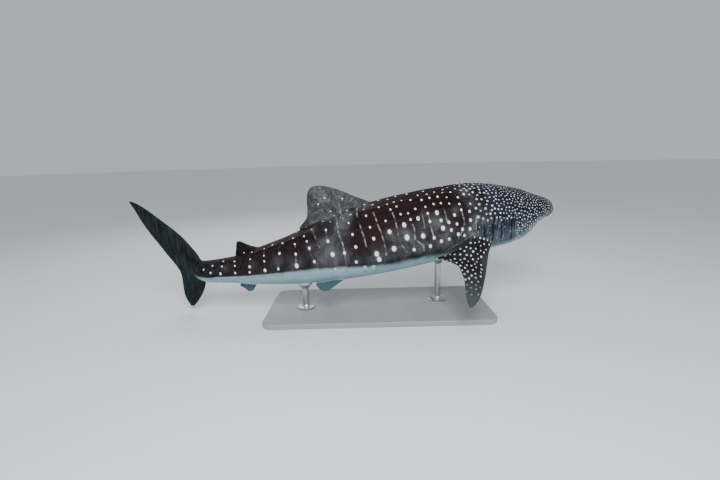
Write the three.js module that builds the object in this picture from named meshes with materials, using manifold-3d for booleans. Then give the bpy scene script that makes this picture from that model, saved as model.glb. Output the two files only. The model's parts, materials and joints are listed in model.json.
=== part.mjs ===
// A life-size whale shark in a gentle swimming bend, held on a plain display stand.
// Millimetres, +Z up. The shark faces +X and its right flank faces -Y.
// Places on the body are given as (station, across, up) in body units: the station runs along the
// spine from the snout towards the tail, across is positive to the shark's right, and up is
// measured from the spine. One body unit is a little more than the shark's total length.
import * as THREE from "three";
import { mergeVertices } from "three/addons/utils/BufferGeometryUtils.js";
import Module from "manifold-3d";

const wasm = await Module();
wasm.setup();

// Driving dimensions
const totalLength = 5500;
const snoutStation = 0.024;
const tailTipStation = 0.983;
const bodyUnit = totalLength / (tailTipStation - snoutStation);
const touchGap = 0.3;
const cutterGrowth = 0.45;

// The bend of the spine, in degrees, as powers of the station
const headingTerms = [-12.4, 5.2, 17.9, 10.5];
const archTerms = [-0.2, -55.9, 64.9];
const spineSteps = 420;
const spineEnd = 1.05;

// Body outline: [station, distance from the spine]
const topLine = [
  [0.024, 0.010], [0.038, 0.0185], [0.05, 0.023], [0.07, 0.031], [0.097, 0.0435], [0.126, 0.0525],
  [0.153, 0.0605], [0.206, 0.071], [0.26, 0.075], [0.32, 0.078], [0.38, 0.0795], [0.44, 0.078],
  [0.48, 0.074], [0.52, 0.067], [0.57, 0.0567], [0.6, 0.050], [0.64, 0.043], [0.68, 0.036],
  [0.717, 0.0285], [0.7475, 0.0256], [0.785, 0.0235], [0.805, 0.023], [0.828, 0.021],
];
const bottomLine = [
  [0.024, -0.013], [0.035, -0.0175], [0.045, -0.0215], [0.0575, -0.027], [0.08, -0.036],
  [0.092, -0.0475], [0.105, -0.058], [0.12, -0.065], [0.147, -0.070], [0.2, -0.0735], [0.28, -0.0745],
  [0.36, -0.074], [0.44, -0.070], [0.52, -0.063], [0.6, -0.052], [0.68, -0.039], [0.74, -0.028],
  [0.785, -0.024], [0.805, -0.018], [0.828, -0.008],
];
const halfWidth = [
  [0.024, 0.044], [0.035, 0.051], [0.045, 0.056], [0.055, 0.0615], [0.075, 0.069], [0.1, 0.0745],
  [0.14, 0.080], [0.2, 0.083], [0.28, 0.081], [0.36, 0.076], [0.44, 0.068], [0.52, 0.058],
  [0.6, 0.047], [0.68, 0.036], [0.74, 0.029], [0.785, 0.025], [0.805, 0.017], [0.828, 0.006],
];
const middleShare = 0.45;
const snoutRounding = 0.02;
const snoutPlanPower = 2.3;
const snoutSidePower = 2.0;

// Roundness of the section above and below its widest line: [station, superellipse power]
const upperPower = [[0.024, 2.5], [0.1, 2.35], [0.2, 2.1], [0.4, 2.0], [0.83, 2.0]];
const lowerPower = [[0.024, 2.6], [0.1, 2.9], [0.2, 2.6], [0.4, 2.3], [0.7, 2.0], [0.83, 2.0]];

// Ridges along each flank: [station, degrees round the section] and [station, height share]
const lowRidgeAngle = [[0.024, -18], [0.42, -18], [0.5, -13], [0.58, -9], [0.74, -9], [0.79, 0], [0.83, 0]];
const lowRidgeHeight = [
  [0.024, 0], [0.24, 0], [0.34, 0.03], [0.56, 0.035], [0.66, 0.06], [0.74, 0.2], [0.785, 0.34],
  [0.812, 0.2], [0.828, 0],
];
const flankRidgeHeight = [
  [0.024, 0], [0.15, 0], [0.24, 0.028], [0.55, 0.032], [0.7, 0.02], [0.76, 0], [0.83, 0],
];
const backRidgeHeight = [
  [0.024, 0], [0.14, 0], [0.24, 0.03], [0.6, 0.03], [0.7, 0.02], [0.78, 0], [0.83, 0],
];
const flankRidgeAngle = 33;
const backRidgeAngle = 60;
const ridgeSpread = 5;
const ridgePower = 1.6;

// Stations where the body is divided, and the rings of each length
const headRings = [
  0.0242, 0.0248, 0.026, 0.0285, 0.032, 0.037, 0.043, 0.05, 0.058, 0.066, 0.074, 0.082, 0.09, 0.098,
  0.108, 0.124, 0.142,
];
const gillBreaks = [0.142, 0.149, 0.167, 0.188, 0.2055, 0.221, 0.24];
const trunkFrontRings = [0.24, 0.265, 0.29, 0.315, 0.34, 0.37, 0.4];
const trunkMiddleRings = [0.4, 0.425, 0.45, 0.475, 0.5, 0.525, 0.548, 0.57];
const tailStemRings = [0.57, 0.595, 0.62, 0.645, 0.67, 0.695, 0.72, 0.75];
const peduncleRings = [0.75, 0.762, 0.774, 0.785, 0.795, 0.806, 0.817, 0.828];

// Gill slits, front to back, each with the lower and upper end of the slit
const gillSlits = [
  { station: 0.155, low: -0.053, high: -0.008 },
  { station: 0.178, low: -0.054, high: -0.007 },
  { station: 0.1965, low: -0.046, high: -0.004 },
  { station: 0.2143, low: -0.034, high: 0.000 },
  { station: 0.2275, low: -0.016, high: 0.005 },
];
const gillSlitWidth = 16;
const gillSlitDepth = 30;
const gillFlapRise = 15;
const gillEndBlend = 0.008;
const gillFirstFlap = 0.02;

// Mouth, lips, eyes, spiracles and nostrils
const mouthLine = [[0.024, -0.0060], [0.034, -0.0075], [0.046, -0.0105], [0.058, -0.0145]];
const jawHinge = [0.083, -0.06];
const jawToolMargin = 0.02;
const jawToolHalfWidth = 0.12;
const mouthOpening = 8;
const lipRadius = 11;
const lipRise = 13;
const lipSteps = 30;
const lipStations = [0.0605, 0.052, 0.044, 0.037, 0.031, 0.0275, 0.0252];
const lipFront = 0.0243;
const eyeStation = 0.067;
const eyeHeight = -0.0055;
const eyeRadius = 25;
const eyeSunk = 11;
const eyeRimThickness = 7;
const spiracleStation = 0.083;
const spiracleHeight = -0.0035;
const spiracleSize = [15, 12, 11];
const nostrilStation = 0.0268;
const nostrilAcross = 0.027;
const nostrilHeight = -0.0015;
const nostrilSize = [22, 17, 9];

// Fins, each as rows from the root to the tip: leading edge, trailing edge, thickness in mm
const firstDorsalRows = [
  { lead: [0.402, 0, 0.052], trail: [0.548, 0, 0.034], thick: 96 },
  { lead: [0.413, 0, 0.083], trail: [0.5685, 0, 0.0610], thick: 84 },
  { lead: [0.432, 0, 0.0944], trail: [0.5480, 0, 0.0795], thick: 66 },
  { lead: [0.4502, 0, 0.1074], trail: [0.5415, 0, 0.098], thick: 52 },
  { lead: [0.4681, 0, 0.1205], trail: [0.5385, 0, 0.114], thick: 40 },
  { lead: [0.4855, 0, 0.1305], trail: [0.5345, 0, 0.1265], thick: 30 },
  { lead: [0.500, 0, 0.1365], trail: [0.5275, 0, 0.1355], thick: 20 },
  { lead: [0.511, 0, 0.1392], trail: [0.5195, 0, 0.1395], thick: 10 },
];
const secondDorsalRows = [
  { lead: [0.656, 0, 0.022], trail: [0.708, 0, 0.016], thick: 46 },
  { lead: [0.668, 0, 0.0405], trail: [0.7175, 0, 0.0310], thick: 38 },
  { lead: [0.680, 0, 0.0455], trail: [0.7140, 0, 0.0415], thick: 28 },
  { lead: [0.6905, 0, 0.0515], trail: [0.7115, 0, 0.0505], thick: 18 },
  { lead: [0.700, 0, 0.0575], trail: [0.7085, 0, 0.0585], thick: 9 },
];
const analRows = [
  { lead: [0.677, 0, -0.022], trail: [0.708, 0, -0.018], thick: 40 },
  { lead: [0.685, 0, -0.0385], trail: [0.7215, 0, -0.0385], thick: 32 },
  { lead: [0.6905, 0, -0.0460], trail: [0.7135, 0, -0.0455], thick: 22 },
  { lead: [0.697, 0, -0.0535], trail: [0.7065, 0, -0.0535], thick: 10 },
];
const pelvicRows = [
  { lead: [0.497, 0.026, -0.045], trail: [0.545, 0.022, -0.042], thick: 44 },
  { lead: [0.503, 0.036, -0.0575], trail: [0.559, 0.030, -0.0560], thick: 36 },
  { lead: [0.512, 0.044, -0.0590], trail: [0.556, 0.040, -0.0588], thick: 26 },
  { lead: [0.5225, 0.052, -0.0612], trail: [0.5505, 0.050, -0.0618], thick: 17 },
  { lead: [0.534, 0.060, -0.0640], trail: [0.543, 0.059, -0.0643], thick: 9 },
];
const pectoralRows = [
  { lead: [0.185, 0.045, -0.0400], trail: [0.236, 0.062, -0.0130], thick: 88 },
  { lead: [0.1975, 0.070, -0.0500], trail: [0.243, 0.088, -0.0240], thick: 82 },
  { lead: [0.207, 0.080, -0.0570], trail: [0.272, 0.094, -0.0340], thick: 72 },
  { lead: [0.216, 0.090, -0.0645], trail: [0.302, 0.095, -0.0415], thick: 60 },
  { lead: [0.225, 0.101, -0.0728], trail: [0.3275, 0.088, -0.0440], thick: 50 },
  { lead: [0.234, 0.112, -0.0810], trail: [0.302, 0.106, -0.0543], thick: 42 },
  { lead: [0.2435, 0.124, -0.0895], trail: [0.291, 0.119, -0.0645], thick: 35 },
  { lead: [0.255, 0.137, -0.0990], trail: [0.2915, 0.132, -0.0800], thick: 28 },
  { lead: [0.269, 0.152, -0.1095], trail: [0.297, 0.147, -0.0962], thick: 20 },
  { lead: [0.285, 0.1655, -0.1185], trail: [0.3035, 0.162, -0.1115], thick: 13 },
  { lead: [0.3005, 0.1737, -0.1220], trail: [0.305, 0.1730, -0.1208], thick: 7 },
];
const forkRow = { lead: [0.7955, 0, 0.000], trail: [0.8524, 0, -0.0044], thick: 64 };
const upperLobeRows = [
  forkRow,
  { lead: [0.7985, 0, 0.0215], trail: [0.8600, 0, 0.0110], thick: 82 },
  { lead: [0.8065, 0, 0.0395], trail: [0.8705, 0, 0.0245], thick: 74 },
  { lead: [0.8190, 0, 0.0570], trail: [0.8830, 0, 0.0390], thick: 62 },
  { lead: [0.8360, 0, 0.0765], trail: [0.8988, 0, 0.0577], thick: 51 },
  { lead: [0.8580, 0, 0.0945], trail: [0.9150, 0, 0.0745], thick: 41 },
  { lead: [0.8830, 0, 0.1105], trail: [0.9310, 0, 0.0915], thick: 32 },
  { lead: [0.9100, 0, 0.1255], trail: [0.9480, 0, 0.1100], thick: 24 },
  { lead: [0.9380, 0, 0.1385], trail: [0.9630, 0, 0.1280], thick: 16 },
  { lead: [0.9620, 0, 0.1455], trail: [0.9755, 0, 0.1405], thick: 10 },
  { lead: [0.9780, 0, 0.1478], trail: [tailTipStation, 0, 0.1466], thick: 5 },
];
const lowerLobeRows = [
  forkRow,
  { lead: [0.7955, 0, -0.0200], trail: [0.8512, 0, -0.0200], thick: 52 },
  { lead: [0.8000, 0, -0.0345], trail: [0.8513, 0, -0.0360], thick: 40 },
  { lead: [0.8075, 0, -0.0485], trail: [0.8508, 0, -0.0500], thick: 30 },
  { lead: [0.8160, 0, -0.0605], trail: [0.8480, 0, -0.0620], thick: 21 },
  { lead: [0.8250, 0, -0.0715], trail: [0.8435, 0, -0.0715], thick: 13 },
  { lead: [0.8335, 0, -0.0795], trail: [0.8395, 0, -0.0790], thick: 7 },
];
// Half thickness of a fin from its leading edge to its trailing edge: [share of the chord, share]
const foil = [[0.03, 0.42], [0.1, 0.74], [0.24, 1.0], [0.45, 0.88], [0.7, 0.5], [1, 0]];
const finEdgeThickness = 4;

// Stand
const tailClearance = 70;
const baseLength = 2700;
const baseWidth = 1150;
const baseThickness = 60;
const baseCornerRadius = 120;
const baseBevel = 8;
const baseStation = 0.415;
const rodStations = { front: 0.29, rear: 0.585 };
const rodRadius = 38;
const footRadius = 115;
const footThickness = 18;
const saddleRadius = 95;
const saddleHeight = 60;
const rodSides = 24;

// Colours of the bare solids
const skinColour = { color: 0x2b2f36, roughness: 0.55, metalness: 0 };
const bellyColour = { color: 0x7f8a90, roughness: 0.55, metalness: 0 };
const eyeColour = { color: 0x0b0c10, roughness: 0.15, metalness: 0 };
const baseColour = { color: 0xb9bcbc, roughness: 0.6, metalness: 0 };
const rodColour = { color: 0x8d9093, roughness: 0.35, metalness: 1 };

// Numbers along the body

const radians = THREE.MathUtils.degToRad;

function polynomial(terms, x) {
  return terms.reduceRight((sum, term) => sum * x + term, 0);
}

// A smooth curve through [x, value] knots that never overshoots them
function smoothCurve(knots) {
  const last = knots.length - 1;
  const rise = (i) => (knots[i + 1][1] - knots[i][1]) / (knots[i + 1][0] - knots[i][0]);
  const slope = knots.map((_, i) => {
    if (i === 0 || i === last) return i === 0 ? rise(0) : rise(last - 1);
    const before = rise(i - 1);
    const after = rise(i);
    return before * after <= 0 ? 0 : (2 * before * after) / (before + after);
  });
  return (x) => {
    const at = THREE.MathUtils.clamp(x, knots[0][0], knots[last][0]);
    let i = 0;
    while (i < last - 1 && at > knots[i + 1][0]) i += 1;
    const width = knots[i + 1][0] - knots[i][0];
    const t = (at - knots[i][0]) / width;
    const u = 1 - t;
    return knots[i][1] * u * u * (1 + 2 * t) + knots[i + 1][1] * t * t * (3 - 2 * t)
      + width * t * u * (slope[i] * u - slope[i + 1] * t);
  };
}

const topAt = smoothCurve(topLine);
const bottomAt = smoothCurve(bottomLine);
const widthAt = smoothCurve(halfWidth);
const upperPowerAt = smoothCurve(upperPower);
const lowerPowerAt = smoothCurve(lowerPower);
const lowRidgeAngleAt = smoothCurve(lowRidgeAngle);
const lowRidgeHeightAt = smoothCurve(lowRidgeHeight);
const flankRidgeHeightAt = smoothCurve(flankRidgeHeight);
const backRidgeHeightAt = smoothCurve(backRidgeHeight);
const mouthHeightAt = smoothCurve(mouthLine);

// The spine and the frame that travels along it

function spineDirection(station) {
  const heading = radians(polynomial(headingTerms, station));
  const arch = radians(polynomial(archTerms, station));
  return new THREE.Vector3(
    -Math.cos(heading) * Math.cos(arch),
    Math.sin(heading) * Math.cos(arch),
    Math.sin(arch),
  );
}

const spineStep = spineEnd / spineSteps;
const spinePoints = [new THREE.Vector3(0, 0, 0)];
for (let i = 1; i <= spineSteps; i += 1) {
  const halfway = spineDirection((i - 0.5) * spineStep);
  spinePoints.push(spinePoints[i - 1].clone().addScaledVector(halfway, spineStep));
}

function spinePoint(station) {
  const along = THREE.MathUtils.clamp(station / spineStep, 0, spineSteps - 1e-9);
  const i = Math.floor(along);
  return spinePoints[i].clone().lerp(spinePoints[i + 1], along - i);
}

// The point of space at (station, across, up), in millimetres
function place(station, across, up) {
  const back = spineDirection(station);
  const side = new THREE.Vector3(0, 0, 1).cross(back).normalize();
  const above = back.clone().cross(side);
  return spinePoint(station)
    .addScaledVector(side, across)
    .addScaledVector(above, up)
    .multiplyScalar(bodyUnit);
}

function smoothStep(low, high, x) {
  const t = THREE.MathUtils.clamp((x - low) / (high - low), 0, 1);
  return t * t * (3 - 2 * t);
}

// The body's section

function snoutCap(station, power) {
  const t = THREE.MathUtils.clamp((station - snoutStation) / snoutRounding, 0, 1);
  return (1 - (1 - t) ** power) ** (1 / power);
}

function ridgeSwell(station, degrees) {
  const bump = (centre, spread) => Math.exp(-(Math.abs((degrees - centre) / spread) ** ridgePower));
  const low = lowRidgeHeightAt(station) * bump(lowRidgeAngleAt(station), ridgeSpread);
  const flank = flankRidgeHeightAt(station) * bump(flankRidgeAngle, ridgeSpread);
  const back = backRidgeHeightAt(station) * bump(backRidgeAngle, ridgeSpread);
  const dorsal = 0.5 * backRidgeHeightAt(station) * bump(90, ridgeSpread);
  return low + flank + back + dorsal;
}

// How far the gill flaps stand out and the slits sink in, in millimetres
function gillShift(station, up) {
  const halfSlit = gillSlitWidth / 2 / bodyUnit;
  let shift = 0;
  gillSlits.forEach((slit, i) => {
    const reach = smoothStep(slit.low, slit.low + gillEndBlend, up)
      * (1 - smoothStep(slit.high - gillEndBlend, slit.high, up));
    const offset = station - slit.station;
    if (Math.abs(offset) < halfSlit * 0.6) shift -= gillSlitDepth * reach;
    const flapStart = i === 0 ? slit.station - gillFirstFlap : gillSlits[i - 1].station + halfSlit;
    const flapEnd = slit.station - halfSlit;
    const inFlap = (station - flapStart) / (flapEnd - flapStart);
    if (inFlap > 0 && inFlap < 1.001) shift += gillFlapRise * inFlap * reach;
  });
  return shift;
}

// A point of the body's surface, grown outwards by growth millimetres. The angle runs in degrees
// from -90 under the belly, through 0 at the flank, to 90 on the back; side is 1 or -1.
function skinPoint(station, degrees, side, growth = 0) {
  const planCap = snoutCap(station, snoutPlanPower);
  const sideCap = snoutCap(station, snoutSidePower);
  const top = topAt(station);
  const bottom = bottomAt(station);
  const middle = middleShare * top + (1 - middleShare) * bottom;
  const above = degrees >= 0;
  const power = 2 / (above ? upperPowerAt(station) : lowerPowerAt(station));
  const angle = radians(degrees);
  const swell = 1 + ridgeSwell(station, degrees);
  const across = Math.cos(angle) ** power * widthAt(station) * planCap * swell;
  const height = (above ? top - middle : middle - bottom) * sideCap;
  const up = Math.sign(degrees) * Math.abs(Math.sin(angle)) ** power * height * swell;
  const outwards = (growth + gillShift(station, middle + up)) / bodyUnit / Math.hypot(across, up);
  return place(station, side * across * (1 + outwards), middle + up * (1 + outwards));
}

// Angles of the ring's points up one flank, with points on and beside each ridge
function flankAngles(station) {
  const low = lowRidgeAngleAt(station);
  const flank = flankRidgeAngle;
  const back = backRidgeAngle;
  const spread = ridgeSpread;
  return [
    -73, -57, -44, low - 3 * spread, low - spread, low, low + spread, (2 * low + flank) / 3,
    (low + 2 * flank) / 3, flank - spread, flank, flank + spread, (flank + back) / 2,
    back - spread, back, back + spread, 78,
  ];
}

function bodyRing(station, growth) {
  const angles = flankAngles(station);
  const right = angles.map((degrees) => skinPoint(station, degrees, 1, growth));
  const left = angles.map((degrees) => skinPoint(station, degrees, -1, growth)).reverse();
  return [skinPoint(station, -90, 1, growth), ...right, skinPoint(station, 90, 1, growth), ...left];
}

// The angle at which the flank reaches a height, found by halving
function angleAtHeight(station, up) {
  let low = -85;
  let high = 85;
  const origin = place(station, 0, 0);
  const above = place(station, 0, 1).sub(origin);
  const target = up * above.lengthSq();
  for (let i = 0; i < 40; i += 1) {
    const middle = (low + high) / 2;
    if (skinPoint(station, middle, 1).sub(origin).dot(above) < target) low = middle;
    else high = middle;
  }
  return (low + high) / 2;
}

function flankPoint(station, up, side) {
  return skinPoint(station, angleAtHeight(station, up), side);
}

// Closed meshes

function meshGeometry(points, triangles) {
  const geometry = new THREE.BufferGeometry();
  geometry.setAttribute("position", new THREE.Float32BufferAttribute(points.flatMap((p) => p.toArray()), 3));
  geometry.setIndex(triangles.flat());
  return geometry;
}

function signedVolume(points, triangles) {
  return triangles.reduce((sum, [a, b, c]) => sum + points[a].dot(points[b].clone().cross(points[c])), 0);
}

function average(points) {
  return points.reduce((sum, p) => sum.add(p), new THREE.Vector3()).divideScalar(points.length);
}

// Joins rings of equal length, closing both ends. The two halves of each ring are split into
// triangles as mirror images. A tip given for an end takes the place of the end ring's middle.
function loft(rings, startTip = null, endTip = null) {
  const count = rings[0].length;
  const points = [...rings.flat(), startTip ?? average(rings[0]), endTip ?? average(rings.at(-1))];
  const start = points.length - 2;
  const end = points.length - 1;
  const lastRing = (rings.length - 1) * count;
  const triangles = [];
  for (let j = 0; j < rings.length - 1; j += 1) {
    for (let i = 0; i < count; i += 1) {
      const a = j * count + i;
      const b = j * count + ((i + 1) % count);
      const c = a + count;
      const d = b + count;
      if (i < count / 2) triangles.push([a, b, d], [a, d, c]);
      else triangles.push([a, b, c], [b, d, c]);
    }
  }
  for (let i = 0; i < count; i += 1) {
    const next = (i + 1) % count;
    triangles.push([start, next, i], [end, lastRing + i, lastRing + next]);
  }
  const facing = signedVolume(points, triangles) > 0;
  return meshGeometry(points, facing ? triangles : triangles.map(([a, b, c]) => [a, c, b]));
}

function solidOf(geometry) {
  const bare = geometry.clone();
  bare.deleteAttribute("normal");
  bare.deleteAttribute("uv");
  const merged = mergeVertices(bare, 1e-4);
  return new wasm.Manifold(new wasm.Mesh({
    numProp: 3,
    vertProperties: new Float32Array(merged.attributes.position.array),
    triVerts: new Uint32Array(merged.index.array),
  }));
}

// The largest closed surface of a solid, as a geometry
function geometryOf(solid) {
  const pieces = solid.decompose().sort((a, b) => b.volume() - a.volume());
  const mesh = pieces[0].getMesh();
  const geometry = new THREE.BufferGeometry();
  geometry.setAttribute("position", new THREE.BufferAttribute(mesh.vertProperties, 3));
  geometry.setIndex(new THREE.BufferAttribute(mesh.triVerts, 1));
  return geometry;
}

function prism(profile, halfAcross) {
  const ringAt = (across) => profile.map(([station, up]) => place(station, across, up));
  return solidOf(loft([ringAt(-halfAcross), ringAt(halfAcross)]));
}

function ellipsoid(centre, [along, across, up], around) {
  const geometry = new THREE.SphereGeometry(1, 14, 9);
  geometry.scale(along, across, up);
  geometry.applyQuaternion(around);
  geometry.translate(centre.x, centre.y, centre.z);
  return solidOf(geometry);
}

function tube(points, radius, steps) {
  const section = new THREE.Shape().absarc(0, 0, radius, 0, 2 * Math.PI);
  return solidOf(new THREE.ExtrudeGeometry(section, {
    extrudePath: new THREE.CatmullRomCurve3(points),
    steps,
    curveSegments: 4,
    bevelEnabled: false,
  }));
}

// Body lengths. Neighbours share a ring and stand half a gap back from it, and a grown body
// passes its last ring by as much.
function bodyLength(stations, growth = 0) {
  const halfGap = touchGap / 2 / bodyUnit;
  const rings = stations.map((station, i) => {
    let at = station;
    if (i === 0 && station > headRings[0]) at += halfGap;
    if (i === stations.length - 1) at += growth > 0 ? halfGap : -halfGap;
    return bodyRing(at, growth);
  });
  const middle = middleShare * topAt(snoutStation) + (1 - middleShare) * bottomAt(snoutStation);
  return loft(rings, stations[0] === headRings[0] ? place(snoutStation, 0, middle) : null);
}

function gillRings() {
  const halfSlit = gillSlitWidth / 2 / bodyUnit;
  const edges = gillSlits.flatMap(({ station }) => [
    station - halfSlit, station - halfSlit * 0.55, station + halfSlit * 0.55, station + halfSlit,
  ]);
  return [...gillBreaks, ...edges].sort((a, b) => a - b);
}

const allRings = [
  ...headRings, ...gillRings().slice(1), ...trunkFrontRings.slice(1), ...trunkMiddleRings.slice(1),
  ...tailStemRings.slice(1), ...peduncleRings.slice(1),
];
const bodyCutter = solidOf(bodyLength(allRings, cutterGrowth));

// Head and lower jaw, parted along the mouth line

function jawTool(shift) {
  const lift = (shift * mouthOpening) / 2 / bodyUnit;
  const gap = (shift * touchGap) / 2 / bodyUnit;
  const front = snoutStation - jawToolMargin;
  const below = jawHinge[1] - jawToolMargin;
  const upper = mouthLine.map(([station, up]) => [station, up + lift]);
  const [cornerStation, cornerHeight] = mouthLine.at(-1);
  return prism([
    [front, mouthLine[0][1] + lift],
    ...upper,
    [cornerStation + gap, cornerHeight],
    [jawHinge[0] + gap, jawHinge[1]],
    [jawHinge[0] + gap, below],
    [front, below],
  ], jawToolHalfWidth);
}

function lipPath(rise) {
  const offset = rise / bodyUnit;
  const half = (side) => lipStations.map((s) => flankPoint(s, mouthHeightAt(s) + offset, side));
  const front = place(lipFront, 0, mouthLine[0][1] + offset);
  return [...half(-1), front, ...half(1).reverse()];
}

function outwardTurn(station, up, side) {
  const centre = flankPoint(station, up, side);
  const along = flankPoint(station + 0.004, up, side).sub(centre).normalize();
  const rise = flankPoint(station, up + 0.004, side).sub(centre).normalize();
  const outward = rise.clone().cross(along).normalize().multiplyScalar(side);
  const upward = along.clone().cross(outward).normalize();
  const frame = new THREE.Matrix4().makeBasis(along, outward, upward);
  return { centre, outward, turn: new THREE.Quaternion().setFromRotationMatrix(frame) };
}

function eyeCentre(side) {
  const { centre, outward, turn } = outwardTurn(eyeStation, eyeHeight, side);
  return { centre: centre.addScaledVector(outward, -eyeSunk), outward, turn };
}

function eyeGeometry(side, growth = 0) {
  const { centre, turn } = eyeCentre(side);
  const geometry = new THREE.SphereGeometry(eyeRadius + growth, 16, 10);
  geometry.applyQuaternion(turn);
  geometry.translate(centre.x, centre.y, centre.z);
  return geometry;
}

function eyeRim(side) {
  const { centre, outward } = eyeCentre(side);
  const geometry = new THREE.TorusGeometry(eyeRadius, eyeRimThickness, 6, 16);
  geometry.applyQuaternion(new THREE.Quaternion().setFromUnitVectors(new THREE.Vector3(0, 0, 1), outward));
  geometry.translate(...centre.addScaledVector(outward, eyeSunk - 3).toArray());
  return solidOf(geometry);
}

function spiracle(side) {
  const { centre, turn } = outwardTurn(spiracleStation, spiracleHeight, side);
  return ellipsoid(centre, spiracleSize, turn);
}

function nostril(side) {
  const { centre, turn } = outwardTurn(nostrilStation, nostrilHeight, side);
  const onSnout = place(nostrilStation, side * nostrilAcross, nostrilHeight);
  return ellipsoid(centre.lerp(onSnout, 0.5), nostrilSize, turn);
}

const headBlock = solidOf(bodyLength(headRings))
  .add(tube(lipPath(lipRise), lipRadius, lipSteps))
  .add(tube(lipPath(-lipRise), lipRadius, lipSteps));

function headSolid() {
  let solid = headBlock.subtract(jawTool(1));
  [1, -1].forEach((side) => {
    solid = solid
      .add(eyeRim(side))
      .subtract(solidOf(eyeGeometry(side, touchGap)))
      .subtract(spiracle(side))
      .subtract(nostril(side));
  });
  return solid;
}

// Fins

function finRing(row, index, rows, side) {
  const at = ([station, across, up]) => place(station, side * across, up);
  const lead = at(row.lead);
  const trail = at(row.trail);
  const before = rows[Math.max(index - 1, 0)];
  const after = rows[Math.min(index + 1, rows.length - 1)];
  const chord = trail.clone().sub(lead);
  const span = at(after.lead).add(at(after.trail)).sub(at(before.lead)).sub(at(before.trail));
  const outward = chord.clone().cross(span).normalize();
  const faces = foil.map(([share, half]) => {
    const onChord = lead.clone().addScaledVector(chord, share);
    const thickness = Math.max((half * row.thick) / 2, finEdgeThickness / 2);
    return { onChord, thickness };
  });
  const upper = faces.map(({ onChord, thickness }) => onChord.clone().addScaledVector(outward, thickness));
  const lower = faces.map(({ onChord, thickness }) => onChord.clone().addScaledVector(outward, -thickness));
  return [lead, ...upper, ...lower.reverse()];
}

// Neither lobe of the tail fin reaches the row they share, by half a gap
function withdrawn(rows, direction) {
  const shift = (direction * touchGap) / 2 / bodyUnit;
  const [first, ...others] = rows;
  const moved = ([station, across, up]) => [station, across, up + shift];
  return [{ ...first, lead: moved(first.lead), trail: moved(first.trail) }, ...others];
}

function fin(rows, side = 1) {
  const rings = rows.map((row, i) => finRing(row, i, rows, side));
  return geometryOf(solidOf(loft(rings)).subtract(bodyCutter));
}

// Stand

const bodyNodes = {
  gill_region: bodyLength(gillRings()),
  trunk_front: bodyLength(trunkFrontRings),
  trunk_middle: bodyLength(trunkMiddleRings),
  tail_stem: bodyLength(tailStemRings),
  caudal_peduncle: bodyLength(peduncleRings),
};
const lowerLobe = fin(withdrawn(lowerLobeRows, -1));
lowerLobe.computeBoundingBox();
const floorHeight = lowerLobe.boundingBox.min.z - tailClearance;
const baseTop = floorHeight + baseThickness;

function standBase() {
  const x = baseLength / 2 - baseBevel;
  const y = baseWidth / 2 - baseBevel;
  const r = baseCornerRadius;
  const outline = new THREE.Shape()
    .moveTo(-x + r, -y).lineTo(x - r, -y).absarc(x - r, -y + r, r, -Math.PI / 2, 0)
    .lineTo(x, y - r).absarc(x - r, y - r, r, 0, Math.PI / 2)
    .lineTo(-x + r, y).absarc(-x + r, y - r, r, Math.PI / 2, Math.PI)
    .lineTo(-x, -y + r).absarc(-x + r, -y + r, r, Math.PI, 1.5 * Math.PI);
  const geometry = new THREE.ExtrudeGeometry(outline, {
    depth: baseThickness - 2 * baseBevel,
    bevelThickness: baseBevel,
    bevelSize: baseBevel,
    bevelSegments: 1,
    curveSegments: 6,
  });
  const under = spinePoint(baseStation).multiplyScalar(bodyUnit);
  geometry.translate(under.x, under.y, floorHeight + baseBevel);
  return geometryOf(solidOf(geometry));
}

function standRod(station) {
  const under = place(station, 0, bottomAt(station));
  const foot = baseTop + touchGap;
  const height = under.z - foot;
  const saddleTop = height + saddleHeight;
  const profile = [
    [0, 0], [footRadius, 0], [footRadius, footThickness * 0.7], [footRadius - 8, footThickness],
    [rodRadius + 16, footThickness + 6], [rodRadius, footThickness + 26],
    [rodRadius, height - 1.4 * saddleHeight], [rodRadius + 14, height - 1.0 * saddleHeight],
    [saddleRadius - 8, height - 0.45 * saddleHeight], [saddleRadius, height - 0.3 * saddleHeight],
    [saddleRadius, saddleTop], [0, saddleTop],
  ].map(([radius, up]) => new THREE.Vector2(radius, up));
  const geometry = new THREE.LatheGeometry(profile, rodSides);
  geometry.rotateX(Math.PI / 2);
  geometry.translate(under.x, under.y, foot);
  return geometryOf(solidOf(geometry).subtract(bodyCutter));
}

// The whole shark on its stand

const parts = {
  head: [geometryOf(headSolid()), skinColour],
  lower_jaw: [geometryOf(headBlock.intersect(jawTool(-1))), bellyColour],
  eye_right: [eyeGeometry(1), eyeColour],
  eye_left: [eyeGeometry(-1), eyeColour],
  gill_region: [bodyNodes.gill_region, skinColour],
  trunk_front: [bodyNodes.trunk_front, skinColour],
  trunk_middle: [bodyNodes.trunk_middle, skinColour],
  tail_stem: [bodyNodes.tail_stem, skinColour],
  caudal_peduncle: [bodyNodes.caudal_peduncle, skinColour],
  dorsal_fin_first: [fin(firstDorsalRows), skinColour],
  dorsal_fin_second: [fin(secondDorsalRows), skinColour],
  anal_fin: [fin(analRows), skinColour],
  pectoral_fin_right: [fin(pectoralRows, 1), skinColour],
  pectoral_fin_left: [fin(pectoralRows, -1), skinColour],
  pelvic_fin_right: [fin(pelvicRows, 1), bellyColour],
  pelvic_fin_left: [fin(pelvicRows, -1), bellyColour],
  caudal_fin_upper_lobe: [fin(withdrawn(upperLobeRows, 1)), skinColour],
  caudal_fin_lower_lobe: [lowerLobe, skinColour],
  stand_base: [standBase(), baseColour],
  stand_rod_front: [standRod(rodStations.front), rodColour],
  stand_rod_rear: [standRod(rodStations.rear), rodColour],
};

const model = new THREE.Group();
for (const [name, [geometry, colour]] of Object.entries(parts)) {
  const mesh = new THREE.Mesh(geometry, new THREE.MeshStandardMaterial(colour));
  mesh.name = name;
  model.add(mesh);
}

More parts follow.
